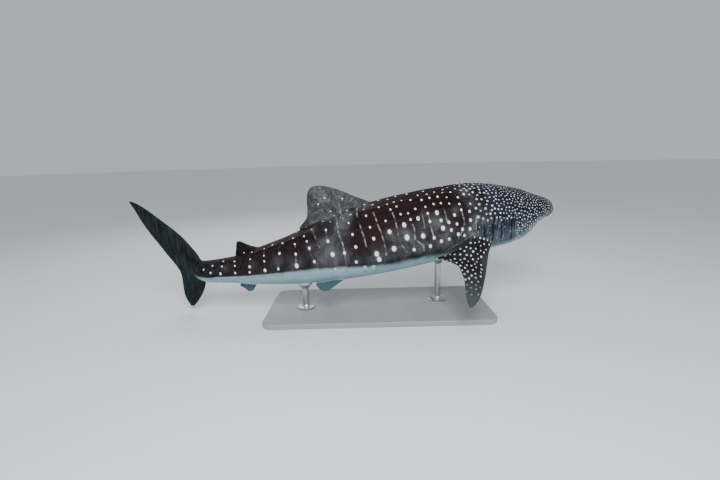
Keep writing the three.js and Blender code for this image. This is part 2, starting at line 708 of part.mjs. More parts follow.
// The origin is the middle of the bounding box, on the floor
const bounds = new THREE.Box3().setFromObject(model);
const centre = bounds.getCenter(new THREE.Vector3());
model.position.set(-centre.x, -centre.y, -bounds.min.z);

const whaleShark = new THREE.Group();
whaleShark.add(model);

export default whaleShark;
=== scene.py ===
# A life-size whale shark on a display stand: its skin, markings, eyes, stand finish, light and camera.
# Metres, +Z up. The shark faces +X and its right flank faces -Y, towards the camera.
# Places on the body are (station, across, up) in body units, as in the solid model.
import math

import bmesh
import bpy
import numpy as np
from mathutils import Matrix, Vector
from mathutils.bvhtree import BVHTree
from mathutils.kdtree import KDTree
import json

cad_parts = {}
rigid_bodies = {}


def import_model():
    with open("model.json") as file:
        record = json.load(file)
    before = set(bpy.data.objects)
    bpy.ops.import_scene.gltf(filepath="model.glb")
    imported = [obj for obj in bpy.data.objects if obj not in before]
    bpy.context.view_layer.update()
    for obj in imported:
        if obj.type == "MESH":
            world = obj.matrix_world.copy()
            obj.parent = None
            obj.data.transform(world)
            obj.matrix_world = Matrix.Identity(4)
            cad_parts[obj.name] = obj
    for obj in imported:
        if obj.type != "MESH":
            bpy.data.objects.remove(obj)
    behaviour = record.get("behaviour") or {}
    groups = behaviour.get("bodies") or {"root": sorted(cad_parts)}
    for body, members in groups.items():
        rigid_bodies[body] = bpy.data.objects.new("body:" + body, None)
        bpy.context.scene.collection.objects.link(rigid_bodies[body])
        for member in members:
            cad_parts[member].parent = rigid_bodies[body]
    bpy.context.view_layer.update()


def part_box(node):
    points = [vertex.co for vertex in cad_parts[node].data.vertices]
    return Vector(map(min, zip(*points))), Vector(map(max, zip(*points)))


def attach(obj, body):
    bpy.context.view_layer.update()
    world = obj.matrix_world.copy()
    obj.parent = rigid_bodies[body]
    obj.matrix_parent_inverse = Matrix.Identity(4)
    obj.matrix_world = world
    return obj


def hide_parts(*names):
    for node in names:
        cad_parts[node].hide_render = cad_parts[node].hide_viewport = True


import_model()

# Driving dimensions, the same as the solid model's apart from the softer ridges and the tail fin,
# which is one piece here
TOTAL_LENGTH = 5.5
SNOUT_STATION = 0.024
TAIL_TIP_STATION = 0.983
UNIT = TOTAL_LENGTH / (TAIL_TIP_STATION - SNOUT_STATION)
HEADING_TERMS = [-12.4, 5.2, 17.9, 10.5]
ARCH_TERMS = [-0.2, -55.9, 64.9]
SPINE_STEPS = 420
SPINE_END = 1.05

TOP_LINE = [
    (0.024, 0.010), (0.038, 0.0185), (0.05, 0.023), (0.07, 0.031), (0.097, 0.0435),
    (0.126, 0.0525), (0.153, 0.0605), (0.206, 0.071), (0.26, 0.075), (0.32, 0.078),
    (0.38, 0.0795), (0.44, 0.078), (0.48, 0.074), (0.52, 0.067), (0.57, 0.0567), (0.6, 0.050),
    (0.64, 0.043), (0.68, 0.036), (0.717, 0.0285), (0.7475, 0.0256), (0.785, 0.0235),
    (0.805, 0.023), (0.828, 0.021),
]
BOTTOM_LINE = [
    (0.024, -0.013), (0.035, -0.0175), (0.045, -0.0215), (0.0575, -0.027), (0.08, -0.036),
    (0.092, -0.0475), (0.105, -0.058), (0.12, -0.065), (0.147, -0.070), (0.2, -0.0735),
    (0.28, -0.0745), (0.36, -0.074), (0.44, -0.070), (0.52, -0.063), (0.6, -0.052),
    (0.68, -0.039), (0.74, -0.028), (0.785, -0.024), (0.805, -0.018), (0.828, -0.008),
]
HALF_WIDTH = [
    (0.024, 0.044), (0.035, 0.051), (0.045, 0.056), (0.055, 0.0615), (0.075, 0.069),
    (0.1, 0.0745), (0.14, 0.080), (0.2, 0.083), (0.28, 0.081), (0.36, 0.076), (0.44, 0.068),
    (0.52, 0.058), (0.6, 0.047), (0.68, 0.036), (0.74, 0.029), (0.785, 0.025), (0.805, 0.017),
    (0.828, 0.006),
]
MIDDLE_SHARE = 0.45
SNOUT_ROUNDING = 0.02
SNOUT_PLAN_POWER = 2.3
SNOUT_SIDE_POWER = 2.0
UPPER_POWER = [(0.024, 2.5), (0.1, 2.35), (0.2, 2.1), (0.4, 2.0), (0.83, 2.0)]
LOWER_POWER = [(0.024, 2.6), (0.1, 2.9), (0.2, 2.6), (0.4, 2.3), (0.7, 2.0), (0.83, 2.0)]
LOW_RIDGE_ANGLE = [
    (0.024, -18), (0.42, -18), (0.5, -13), (0.58, -9), (0.74, -9), (0.79, 0), (0.83, 0),
]
LOW_RIDGE_HEIGHT = [
    (0.024, 0), (0.24, 0), (0.34, 0.03), (0.56, 0.035), (0.66, 0.06), (0.74, 0.2), (0.785, 0.34),
    (0.812, 0.2), (0.828, 0),
]
FLANK_RIDGE_HEIGHT = [
    (0.024, 0), (0.15, 0), (0.24, 0.028), (0.55, 0.032), (0.7, 0.02), (0.76, 0), (0.83, 0),
]
BACK_RIDGE_HEIGHT = [
    (0.024, 0), (0.14, 0), (0.24, 0.03), (0.6, 0.03), (0.7, 0.02), (0.78, 0), (0.83, 0),
]
FLANK_RIDGE_ANGLE = 33
BACK_RIDGE_ANGLE = 60
MIDDLE_RIDGE_ANGLE = 90
MIDDLE_RIDGE_SHARE = 0.5
RIDGE_SPREAD = 5.5
RIDGE_POWER = 2
BODY_END = 0.828

GILL_SLITS = [
    (0.155, -0.053, -0.008), (0.178, -0.054, -0.007), (0.1965, -0.046, -0.004),
    (0.2143, -0.034, 0.000), (0.2275, -0.016, 0.005),
]
GILL_SLIT_WIDTH = 0.016
GILL_FLAP_RISE = 0.015
GILL_FLAP_POWER = 1.5
GILL_END_BLEND = 0.008
GILL_FIRST_FLAP = 0.02
# Across a slit, front to back in half widths: how far the skin is drawn back, and its height in metres
SLIT_SHIFT = [
    (-1, 0), (-0.8, 0.35), (-0.6, 0.55), (-0.4, 0.3), (-0.1, -0.05), (0.2, -0.1), (0.5, 0), (1, 0),
]
SLIT_HEIGHT = [
    (-1, 0.015), (-0.8, 0.013), (-0.6, 0.006), (-0.4, -0.006), (-0.1, -0.021), (0.2, -0.028),
    (0.5, -0.021), (0.8, -0.008), (1, 0),
]

MOUTH_LINE = [(0.024, -0.0060), (0.034, -0.0075), (0.046, -0.0105), (0.058, -0.0145)]
EYE_STATION = 0.067
EYE_HEIGHT = -0.0055
EYE_RADIUS = 0.025
EYE_SUNK = 0.011

# Fins: rows from root to tip, each with its leading edge, trailing edge and thickness. The caudal
# fin's rows run from its lower tip to its upper tip.
FINS = {
    "first_dorsal": [
        ((0.402, 0, 0.052), (0.548, 0, 0.034), 0.096),
        ((0.413, 0, 0.083), (0.5685, 0, 0.0610), 0.084),
        ((0.432, 0, 0.0944), (0.5480, 0, 0.0795), 0.066),
        ((0.4502, 0, 0.1074), (0.5415, 0, 0.098), 0.052),
        ((0.4681, 0, 0.1205), (0.5385, 0, 0.114), 0.040),
        ((0.4855, 0, 0.1305), (0.5345, 0, 0.1265), 0.030),
        ((0.500, 0, 0.1365), (0.5275, 0, 0.1355), 0.020),
        ((0.511, 0, 0.1392), (0.5195, 0, 0.1395), 0.010),
    ],
    "second_dorsal": [
        ((0.656, 0, 0.022), (0.708, 0, 0.016), 0.046),
        ((0.668, 0, 0.0405), (0.7175, 0, 0.0310), 0.038),
        ((0.680, 0, 0.0455), (0.7140, 0, 0.0415), 0.028),
        ((0.6905, 0, 0.0515), (0.7115, 0, 0.0505), 0.018),
        ((0.700, 0, 0.0575), (0.7085, 0, 0.0585), 0.009),
    ],
    "anal": [
        ((0.677, 0, -0.022), (0.708, 0, -0.018), 0.040),
        ((0.685, 0, -0.0385), (0.7215, 0, -0.0385), 0.032),
        ((0.6905, 0, -0.0460), (0.7135, 0, -0.0455), 0.022),
        ((0.697, 0, -0.0535), (0.7065, 0, -0.0535), 0.010),
    ],
    "pelvic": [
        ((0.497, 0.026, -0.0450), (0.545, 0.022, -0.0420), 0.044),
        ((0.503, 0.036, -0.0575), (0.559, 0.030, -0.0560), 0.036),
        ((0.512, 0.044, -0.0590), (0.556, 0.040, -0.0588), 0.026),
        ((0.5225, 0.052, -0.0612), (0.5505, 0.050, -0.0618), 0.017),
        ((0.534, 0.060, -0.0640), (0.543, 0.059, -0.0643), 0.009),
    ],
    "pectoral": [
        ((0.185, 0.045, -0.0400), (0.236, 0.062, -0.0130), 0.088),
        ((0.1975, 0.070, -0.0500), (0.243, 0.088, -0.0240), 0.082),
        ((0.207, 0.080, -0.0570), (0.272, 0.094, -0.0340), 0.072),
        ((0.216, 0.090, -0.0645), (0.302, 0.095, -0.0415), 0.060),
        ((0.225, 0.101, -0.0728), (0.3275, 0.088, -0.0440), 0.050),
        ((0.234, 0.112, -0.0810), (0.302, 0.106, -0.0543), 0.042),
        ((0.2435, 0.124, -0.0895), (0.291, 0.119, -0.0645), 0.035),
        ((0.255, 0.137, -0.0990), (0.2915, 0.132, -0.0800), 0.028),
        ((0.269, 0.152, -0.1095), (0.297, 0.147, -0.0962), 0.020),
        ((0.285, 0.1655, -0.1185), (0.3035, 0.162, -0.1115), 0.013),
        ((0.3005, 0.1737, -0.1220), (0.305, 0.1730, -0.1208), 0.007),
    ],
    "caudal": [
        ((0.8335, 0, -0.0795), (0.8395, 0, -0.0790), 0.007),
        ((0.8250, 0, -0.0715), (0.8435, 0, -0.0715), 0.013),
        ((0.8160, 0, -0.0605), (0.8480, 0, -0.0620), 0.021),
        ((0.8075, 0, -0.0485), (0.8508, 0, -0.0500), 0.030),
        ((0.8000, 0, -0.0345), (0.8513, 0, -0.0360), 0.040),
        ((0.7955, 0, -0.0200), (0.8512, 0, -0.0200), 0.052),
        ((0.7955, 0, 0.000), (0.8524, 0, -0.0044), 0.064),
        ((0.7985, 0, 0.0215), (0.8600, 0, 0.0110), 0.082),
        ((0.8065, 0, 0.0395), (0.8705, 0, 0.0245), 0.074),
        ((0.8190, 0, 0.0570), (0.8830, 0, 0.0390), 0.062),
        ((0.8360, 0, 0.0765), (0.8988, 0, 0.0577), 0.051),
        ((0.8580, 0, 0.0945), (0.9150, 0, 0.0745), 0.041),
        ((0.8830, 0, 0.1105), (0.9310, 0, 0.0915), 0.032),
        ((0.9100, 0, 0.1255), (0.9480, 0, 0.1100), 0.024),
        ((0.9380, 0, 0.1385), (0.9630, 0, 0.1280), 0.016),
        ((0.9620, 0, 0.1455), (0.9755, 0, 0.1405), 0.010),
        ((0.9780, 0, 0.1478), (TAIL_TIP_STATION, 0, 0.1466), 0.005),
    ],
}
PAIRED_FINS = ("pelvic", "pectoral")
# Half thickness along the chord, against the square root of the share of the chord
FOIL = [(0, 0), (0.173, 0.42), (0.316, 0.74), (0.49, 1.0), (0.67, 0.88), (0.837, 0.5), (1, 0)]
FIN_EDGE = 0.004

BASE_STATION = 0.415
LOWEST_FIN = "caudal_fin_lower_lobe"
FLESH_NODES = [
    "head", "lower_jaw", "gill_region", "trunk_front", "trunk_middle", "tail_stem",
    "caudal_peduncle", "dorsal_fin_first", "dorsal_fin_second", "anal_fin",
    "pectoral_fin_right", "pectoral_fin_left", "pelvic_fin_right", "pelvic_fin_left",
    "caudal_fin_upper_lobe", "caudal_fin_lower_lobe",
]

# Camera, in body units from the spine's front end, and degrees
CAMERA_PLACE = (-0.4393, -0.8499, 0.1127)
CAMERA_PITCH = 12.5
CAMERA_ROLL = 1.4
PHOTO_WIDTH = 720
PHOTO_HEIGHT = 480
FOCAL_PIXELS = 374.4
SENSOR_WIDTH = 36
VIEW_REACH = 500


# Numbers along the body

def smooth_curve(knots):
    """A smooth function through (x, value) knots that never overshoots them."""
    x = np.array([k[0] for k in knots], float)
    y = np.array([k[1] for k in knots], float)
    rise = np.diff(y) / np.diff(x)
    slope = np.empty_like(y)
    slope[0] = rise[0]
    slope[-1] = rise[-1]
    product = rise[:-1] * rise[1:]
    total = rise[:-1] + rise[1:]
    slope[1:-1] = np.where(product > 0, 2 * product / np.where(total == 0, 1, total), 0)

    def value(at):
        at = np.clip(np.asarray(at, float), x[0], x[-1])
        i = np.clip(np.searchsorted(x, at, side="right") - 1, 0, len(x) - 2)
        width = x[i + 1] - x[i]
        t = (at - x[i]) / width
        u = 1 - t
        return (y[i] * u * u * (1 + 2 * t) + y[i + 1] * t * t * (3 - 2 * t)
                + width * t * u * (slope[i] * u - slope[i + 1] * t))

    return value


def smooth_step(low, high, x):
    t = np.clip((x - low) / (high - low), 0, 1)
    return t * t * (3 - 2 * t)


def hill(x, centre, spread):
    """A round hill of height 1 at its centre."""
    return np.exp(-(((x - centre) / spread) ** 2))


top_at = smooth_curve(TOP_LINE)
bottom_at = smooth_curve(BOTTOM_LINE)
width_at = smooth_curve(HALF_WIDTH)
upper_power_at = smooth_curve(UPPER_POWER)
lower_power_at = smooth_curve(LOWER_POWER)
low_ridge_angle_at = smooth_curve(LOW_RIDGE_ANGLE)
low_ridge_height_at = smooth_curve(LOW_RIDGE_HEIGHT)
flank_ridge_height_at = smooth_curve(FLANK_RIDGE_HEIGHT)
back_ridge_height_at = smooth_curve(BACK_RIDGE_HEIGHT)
mouth_height_at = smooth_curve(MOUTH_LINE)
foil_at = smooth_curve(FOIL)
slit_shift_at = smooth_curve(SLIT_SHIFT)
slit_height_at = smooth_curve(SLIT_HEIGHT)


def middle_at(station):
    return MIDDLE_SHARE * top_at(station) + (1 - MIDDLE_SHARE) * bottom_at(station)


# The spine and the frame that travels along it

def spine_direction(station):
    station = np.asarray(station, float)
    heading = np.radians(sum(term * station ** i for i, term in enumerate(HEADING_TERMS)))
    arch = np.radians(sum(term * station ** i for i, term in enumerate(ARCH_TERMS)))
    return np.stack([
        -np.cos(heading) * np.cos(arch), np.sin(heading) * np.cos(arch), np.sin(arch),
    ], axis=-1)


spine_step = SPINE_END / SPINE_STEPS
spine_stations = np.arange(SPINE_STEPS + 1) * spine_step
spine_points = np.zeros((SPINE_STEPS + 1, 3))
spine_points[1:] = np.cumsum(spine_direction(spine_stations[1:] - spine_step / 2) * spine_step, axis=0)


def spine_point(station):
    return np.stack([np.interp(station, spine_stations, spine_points[:, k]) for k in range(3)], axis=-1)


def spine_frame(station):
    """The directions towards the tail, the right side and the back."""
    back = spine_direction(station)
    side = np.cross(np.array([0.0, 0.0, 1.0]), back)
    side /= np.linalg.norm(side, axis=-1, keepdims=True)
    return back, side, np.cross(back, side)


# body_places starts from this many stations per body unit along X, and corrects that in rounds
STATION_GUESS = 1.03
PLACE_ROUNDS = 8
origin = np.zeros(3)


def place(station, across, up):
    """The points of space at (station, across, up), in metres."""
    station = np.asarray(station, float)
    back, side, above = spine_frame(station)
    local = spine_point(station) + side * np.asarray(across)[..., None] + above * np.asarray(up)[..., None]
    return origin + UNIT * local


def body_places(points):
    """The (station, across, up) of points of space."""
    local = (points - origin) / UNIT
    station = np.clip(-local[:, 0] * STATION_GUESS, 0, SPINE_END)
    for _ in range(PLACE_ROUNDS):
        back = spine_direction(station)
        station = np.clip(station + np.sum((local - spine_point(station)) * back, axis=1), 0, SPINE_END)
    back, side, above = spine_frame(station)
    offset = local - spine_point(station)
    return station, np.sum(offset * side, axis=1), np.sum(offset * above, axis=1)


# The body's surface

def snout_cap(station, power):
    t = np.clip((station - SNOUT_STATION) / SNOUT_ROUNDING, 0, 1)
    return (1 - (1 - t) ** power) ** (1 / power)


def ridge_swell(station, degrees):
    def bump(centre):
        return np.exp(-(np.abs((degrees - centre) / RIDGE_SPREAD) ** RIDGE_POWER))

    return (low_ridge_height_at(station) * bump(low_ridge_angle_at(station))
            + flank_ridge_height_at(station) * bump(FLANK_RIDGE_ANGLE)
            + back_ridge_height_at(station)
            * (bump(BACK_RIDGE_ANGLE) + MIDDLE_RIDGE_SHARE * bump(MIDDLE_RIDGE_ANGLE)))


def gill_reach(slit, up):
    """How much of a slit's form there is at a height, from 0 to 1."""
    _, low, high = slit
    return (smooth_step(low, low + GILL_END_BLEND, up)
            * (1 - smooth_step(high - GILL_END_BLEND, high, up)))


def gill_form(station, up):
    """How far the gill flaps stand out or the slits sink in, and how far back the skin is drawn."""
    half_slit = GILL_SLIT_WIDTH / 2 / UNIT
    rise = np.zeros_like(station)
    drawn = np.zeros_like(station)
    before = GILL_SLITS[0][0] - GILL_FIRST_FLAP
    for slit in GILL_SLITS:
        reach = gill_reach(slit, up)
        across_slit = (station - slit[0]) / half_slit
        in_slit = np.abs(across_slit) < 1
        in_flap = (station - before) / (slit[0] - half_slit - before)
        on_flap = (in_flap > 0) & ~in_slit & (station < slit[0])
        rise += np.where(on_flap, GILL_FLAP_RISE * in_flap ** GILL_FLAP_POWER * reach, 0)
        rise += np.where(in_slit, slit_height_at(across_slit) * reach, 0)
        drawn += np.where(in_slit, slit_shift_at(across_slit) * half_slit * reach, 0)
        before = slit[0] + half_slit
    return rise, drawn


def skin_across_up(station, degrees):
    """The skin's place in its section, at an angle from -90 at the belly to 90 at the back."""
    top = top_at(station)
    bottom = bottom_at(station)
    middle = middle_at(station)
    above = degrees >= 0
    power = 2 / np.where(above, upper_power_at(station), lower_power_at(station))
    angle = np.radians(degrees)
    swell = 1 + ridge_swell(station, degrees)
    plan_cap = snout_cap(station, SNOUT_PLAN_POWER)
    side_cap = snout_cap(station, SNOUT_SIDE_POWER)
    across = np.abs(np.cos(angle)) ** power * width_at(station) * plan_cap * swell
    height = np.where(above, top - middle, middle - bottom) * side_cap
    up = np.sign(degrees) * np.abs(np.sin(angle)) ** power * height * swell
    distance = np.maximum(np.hypot(across, up), 1e-9)
    rise, _ = gill_form(station, middle + up)
    outwards = 1 + rise / UNIT / distance
    return across * outwards, middle + up * outwards


# Rings of the fine body

RING_HALF = 230
RING_SAMPLES = 721
STEP_HEAD = 0.0032
STEP_BODY = 0.0065
STEP_GILL = 0.001
STEP_SNOUT_LEAST = 0.01
STEP_SNOUT_POWER = 0.9
SLIT_REACH = 0.6
FIRST_RING = 2e-5
HEAD_END = 0.1
MOUTH_DENSITY = 3.0
MOUTH_DENSITY_SPREAD = 0.0045
MOUTH_DENSITY_END = (0.06, 0.09)
# Where the body and the fins lie on the unwrap
UV_MARGIN = 0.02
UV_BODY_LENGTH = 0.96
UV_BODY_TURN = (0.42, 0.98)
UV_FIN_TURN = 0.36
UV_FIN_FILL = 0.95


def body_stations():
    """Stations from the snout to the body's end, closest at the snout and in each gill slit."""
    stations = [SNOUT_STATION + FIRST_RING]
    while stations[-1] < BODY_END:
        at = stations[-1]
        into_snout = (at - SNOUT_STATION) / SNOUT_ROUNDING
        step = STEP_HEAD if at < HEAD_END else STEP_BODY
        if into_snout < 1:
            step *= max(STEP_SNOUT_LEAST, into_snout ** STEP_SNOUT_POWER)
        if min(abs(at - slit[0]) for slit in GILL_SLITS) * UNIT < GILL_SLIT_WIDTH * SLIT_REACH:
            step = STEP_GILL
        stations.append(at + step / UNIT)
    stations[-1] = BODY_END
    return np.array(stations)


def ring_angles(station):
    """Angles from -90 to 90 at even steps along the skin, closer together at the mouth."""
    samples = np.linspace(-90, 90, RING_SAMPLES)
    across, up = skin_across_up(np.full_like(samples, station), samples)
    near_mouth = hill(up, mouth_height_at(station), MOUTH_DENSITY_SPREAD)
    weight = 1 + MOUTH_DENSITY * near_mouth * (1 - smooth_step(*MOUTH_DENSITY_END, station))
    step = np.hypot(np.diff(across), np.diff(up)) * (weight[1:] + weight[:-1]) / 2
    length = np.concatenate([[0], np.cumsum(step)])
    return np.interp(np.linspace(0, length[-1], RING_HALF + 1), length, samples)


def grid_normals(points):
    """The outward direction at each point of a grid of rings."""
    around = np.roll(points, -1, axis=1) - np.roll(points, 1, axis=1)
    along = np.gradient(points, axis=0)
    normal = np.cross(along, around)
    normal /= np.maximum(np.linalg.norm(normal, axis=2, keepdims=True), 1e-12)
    outward = points - points.mean(axis=1, keepdims=True)
    facing = np.sign((normal * outward).sum(axis=2)[len(points) // 2].sum())
    return normal * facing


def grid_mesh(name, part, points, along, turn, start=None, fields=None):
    """A closed mesh from a grid of points whose rows are rings. along and turn unwrap it, and start
    is the point that closes the first ring, if not the ring's middle."""
    rows, count, _ = points.shape
    index = np.arange(rows * count).reshape(rows, count)
    after = np.roll(index, -1, axis=1)
    quads = np.stack([index[:-1], after[:-1], after[1:], index[1:]], axis=-1).reshape(-1, 4)
    tips = np.full(count, rows * count)
    caps = np.concatenate([
        np.stack([after[0], index[0], tips], axis=-1),
        np.stack([index[-1], after[-1], tips + 1], axis=-1),
    ])
    first = points[0].mean(axis=0) if start is None else start
    vertices = np.concatenate([points.reshape(-1, 3), [first, points[-1].mean(axis=0)]])

    u0, v0 = np.meshgrid(along[:-1], turn[:-1], indexing="ij")
    u1, v1 = np.meshgrid(along[1:], turn[1:], indexing="ij")
    quad_uv = np.stack([u0, v0, u0, v1, u1, v1, u1, v0], axis=-1).reshape(-1, 2)
    a = np.full(count, along[0])
    b = np.full(count, along[-1])
    mid = (turn[:-1] + turn[1:]) / 2
    cap_uv = np.concatenate([
        np.stack([a, turn[1:], a, turn[:-1], a, mid], axis=-1).reshape(-1, 2),
        np.stack([b, turn[:-1], b, turn[1:], b, mid], axis=-1).reshape(-1, 2),
    ])

    mesh = bpy.data.meshes.new(name)
    mesh.vertices.add(len(vertices))
    mesh.vertices.foreach_set("co", vertices.astype(np.float32).ravel())
    corners = np.concatenate([quads.ravel(), caps.ravel()]).astype(np.int32)
    mesh.loops.add(len(corners))
    mesh.loops.foreach_set("vertex_index", corners)
    starts = np.concatenate([np.arange(len(quads)) * 4, len(quads) * 4 + np.arange(len(caps)) * 3])
    mesh.polygons.add(len(starts))
    mesh.polygons.foreach_set("loop_start", starts.astype(np.int32))
    mesh.update(calc_edges=True)
    layer = mesh.uv_layers.new(name="OFBake")
    layer.data.foreach_set("uv", np.concatenate([quad_uv, cap_uv]).astype(np.float32).ravel())
    set_field(mesh, "part", np.full(len(mesh.polygons), part), "INT", "FACE")
    for field, values in (fields or {}).items():
        values = np.broadcast_to(values, (rows, count))
        ends = [values[0].mean(), values[-1].mean()]
        set_field(mesh, field, np.concatenate([values.ravel(), ends]))
    if mesh_volume(mesh) < 0:
        mesh.flip_normals()
    return bpy.data.objects.new(name, mesh)


def mesh_volume(mesh):
    bm = bmesh.new()
    bm.from_mesh(mesh)
    volume = bm.calc_volume(signed=True)
    bm.free()
    return volume


def set_field(mesh, name, values, kind="FLOAT", domain="POINT"):
    field = mesh.attributes.new(name, kind, domain)
    number = np.int32 if kind == "INT" else np.float32
    slot = "color" if kind == "FLOAT_COLOR" else "value"
    field.data.foreach_set(slot, np.ascontiguousarray(values, number).ravel())


def get_field(mesh, name, number=np.float32):
    data = mesh.attributes[name].data
    values = np.empty(len(data), number)
    data.foreach_get("value", values)
    return values


# Mouth, eyes, spiracles and nostrils

LIP_OFFSET = 0.014
LIP_SPREAD = 0.009
LIP_RISE = 0.010
MOUTH_DEPTH = 0.024
MOUTH_HALF_WIDTH = 0.0045
MOUTH_CORNER = (0.0565, 0.063)
EYE_RIM_RADIUS = 0.030
EYE_RIM_SPREAD = 0.006
EYE_RIM_RISE = 0.007
EYE_SOCKET = (0.017, 0.027)
EYE_SOCKET_DEPTH = 0.020
SPIRACLE = (0.083, -0.0035)
SPIRACLE_SIZE = 0.015
SPIRACLE_DEPTH = 0.013
SPIRACLE_EDGE = (0.35, 1.0)
SPIRACLE_RIM = (1.2, 0.4)
SPIRACLE_RIM_RISE = 0.004
NOSTRIL_STATION = 0.0268
NOSTRIL_ACROSS = 0.027
NOSTRIL_HEIGHT = -0.0015
NOSTRIL_SIZE = 0.014
NOSTRIL_DEPTH = 0.012
NOSTRIL_FLATNESS = 1.4
NOSTRIL_EDGE = (0.3, 1.0)
NOSTRIL_RIM = (1.3, 0.4)
NOSTRIL_RIM_RISE = 0.005
RELIEF_END = 0.12
# How deep a gill slit sinks before its painted shade is at full strength, in body units
FULL_SHADE_DEPTH = 0.02
FLANK_STEP = 0.004
FLANK_ANGLE = 85


def flank_place(station, up, side):
    """The point of the flank at a height."""
    degrees = np.linspace(-FLANK_ANGLE, FLANK_ANGLE, RING_SAMPLES)
    across, height = skin_across_up(np.full_like(degrees, station), degrees)
    return place(np.array(station), np.array(side * np.interp(up, height, across)), np.array(up))


def flank_outward(station, up, side):
    here = flank_place(station, up, side)
    along = flank_place(station + FLANK_STEP, up, side) - here
    rise = flank_place(station, up + FLANK_STEP, side) - here
    outward = np.cross(rise, along) * side
    return here, outward / np.linalg.norm(outward)


def head_relief(points, station, up, side):
    """How far the lips, mouth, eye rims, spiracles and nostrils stand out or sink in, in metres,
    and how deep in an opening each point is, from 0 to 1."""
    distance = (up - mouth_height_at(station)) * UNIT
    reach = 1 - smooth_step(*MOUTH_CORNER, station)
    mouth = hill(distance, 0, MOUTH_HALF_WIDTH) * reach
    relief = LIP_RISE * hill(np.abs(distance), LIP_OFFSET, LIP_SPREAD) * reach
    relief -= MOUTH_DEPTH * mouth
    opening = mouth
    for flank in (1, -1):
        here = side == flank
        eye = np.linalg.norm(points - flank_place(EYE_STATION, EYE_HEIGHT, flank), axis=-1)
        rim = EYE_RIM_RISE * hill(eye, EYE_RIM_RADIUS, EYE_RIM_SPREAD)
        socket = 1 - smooth_step(*EYE_SOCKET, eye)
        spiracle = np.linalg.norm(points - flank_place(*SPIRACLE, flank), axis=-1) / SPIRACLE_SIZE
        hole = 1 - smooth_step(*SPIRACLE_EDGE, spiracle)
        on_snout = place(NOSTRIL_STATION, np.array(flank * NOSTRIL_ACROSS), np.array(NOSTRIL_HEIGHT))
        offset = (points - on_snout) * [1, 1, NOSTRIL_FLATNESS]
        nostril = np.linalg.norm(offset, axis=-1) / NOSTRIL_SIZE
        slit = 1 - smooth_step(*NOSTRIL_EDGE, nostril)
        relief += here * (rim - EYE_SOCKET_DEPTH * socket - SPIRACLE_DEPTH * hole)
        relief += SPIRACLE_RIM_RISE * here * hill(spiracle, *SPIRACLE_RIM)
        relief += NOSTRIL_RIM_RISE * hill(nostril, *NOSTRIL_RIM) - NOSTRIL_DEPTH * slit
        opening = np.maximum(opening, np.maximum(here * np.maximum(socket, hole), slit))
    return relief, opening


def body_mesh():
    stations = body_stations()
    angles = np.array([ring_angles(s) for s in stations])
    grid = np.broadcast_to(stations[:, None], angles.shape)
    across, up = skin_across_up(grid, angles)
    rise, drawn = gill_form(grid, up)
    placed = grid + drawn
    right = place(placed, across, up)
    left = place(placed[:, 1:-1], -across[:, 1:-1], up[:, 1:-1])[:, ::-1]
    points = np.concatenate([right, left], axis=1)

    def whole(values):
        return np.concatenate([values, values[:, 1:-1][:, ::-1]], axis=1)

    side = np.ones(points.shape[:2])
    side[:, RING_HALF + 1:] = -1
    # Painted shade: the sunken gill slits are darkened where the skin sinks in, as shade falls there
    opening_shade = whole(np.clip(-rise / FULL_SHADE_DEPTH, 0, 1))
    rows = stations < RELIEF_END
    relief, opening = head_relief(points[rows], whole(grid)[rows], whole(up)[rows], side[rows])
    points[rows] += grid_normals(points)[rows] * relief[..., None]
    # Painted shade in the mouth, eye sockets, spiracles and nostrils
    opening_shade[rows] = np.maximum(opening_shade[rows], opening)
    snout = points[0].mean(axis=0)
    along = UV_MARGIN + UV_BODY_LENGTH * (stations - SNOUT_STATION) / (BODY_END - SNOUT_STATION)
    turn = np.linspace(*UV_BODY_TURN, points.shape[1] + 1)
    return grid_mesh("body", 0, points, along, turn, start=snout, fields={
        "opening_shade": opening_shade, "span": 0.0, "chord": 0.5, "face": 0.0,
    })


# Fins

FIN_STEP = 0.008
FIN_ROWS_LEAST = 12
FIN_CHORD = 72
FIN_PATCH_WIDTH = {
    "first_dorsal": 0.13, "second_dorsal": 0.05, "anal": 0.05, "pelvic": 0.05, "pectoral": 0.16,
    "caudal": 0.27,
}
FIN_ROUND = 1.45


def fin_rows(rows):
    """The fin's rows made fine, by smooth curves through them."""
    lead = np.array([r[0] for r in rows], float)
    trail = np.array([r[1] for r in rows], float)
    thick = np.array([r[2] for r in rows], float)
    middle = (lead + trail) / 2
    length = np.concatenate([[0], np.cumsum(np.linalg.norm(np.diff(middle, axis=0), axis=1))])
    count = max(FIN_ROWS_LEAST, int(length[-1] * UNIT / FIN_STEP))
    at = np.linspace(0, length[-1], count)

    def through(values):
        return smooth_curve(list(zip(length, values)))(at)

    fine_lead = np.stack([through(lead[:, k]) for k in range(3)], axis=-1)
    fine_trail = np.stack([through(trail[:, k]) for k in range(3)], axis=-1)
    return fine_lead, fine_trail, through(thick), at / length[-1]


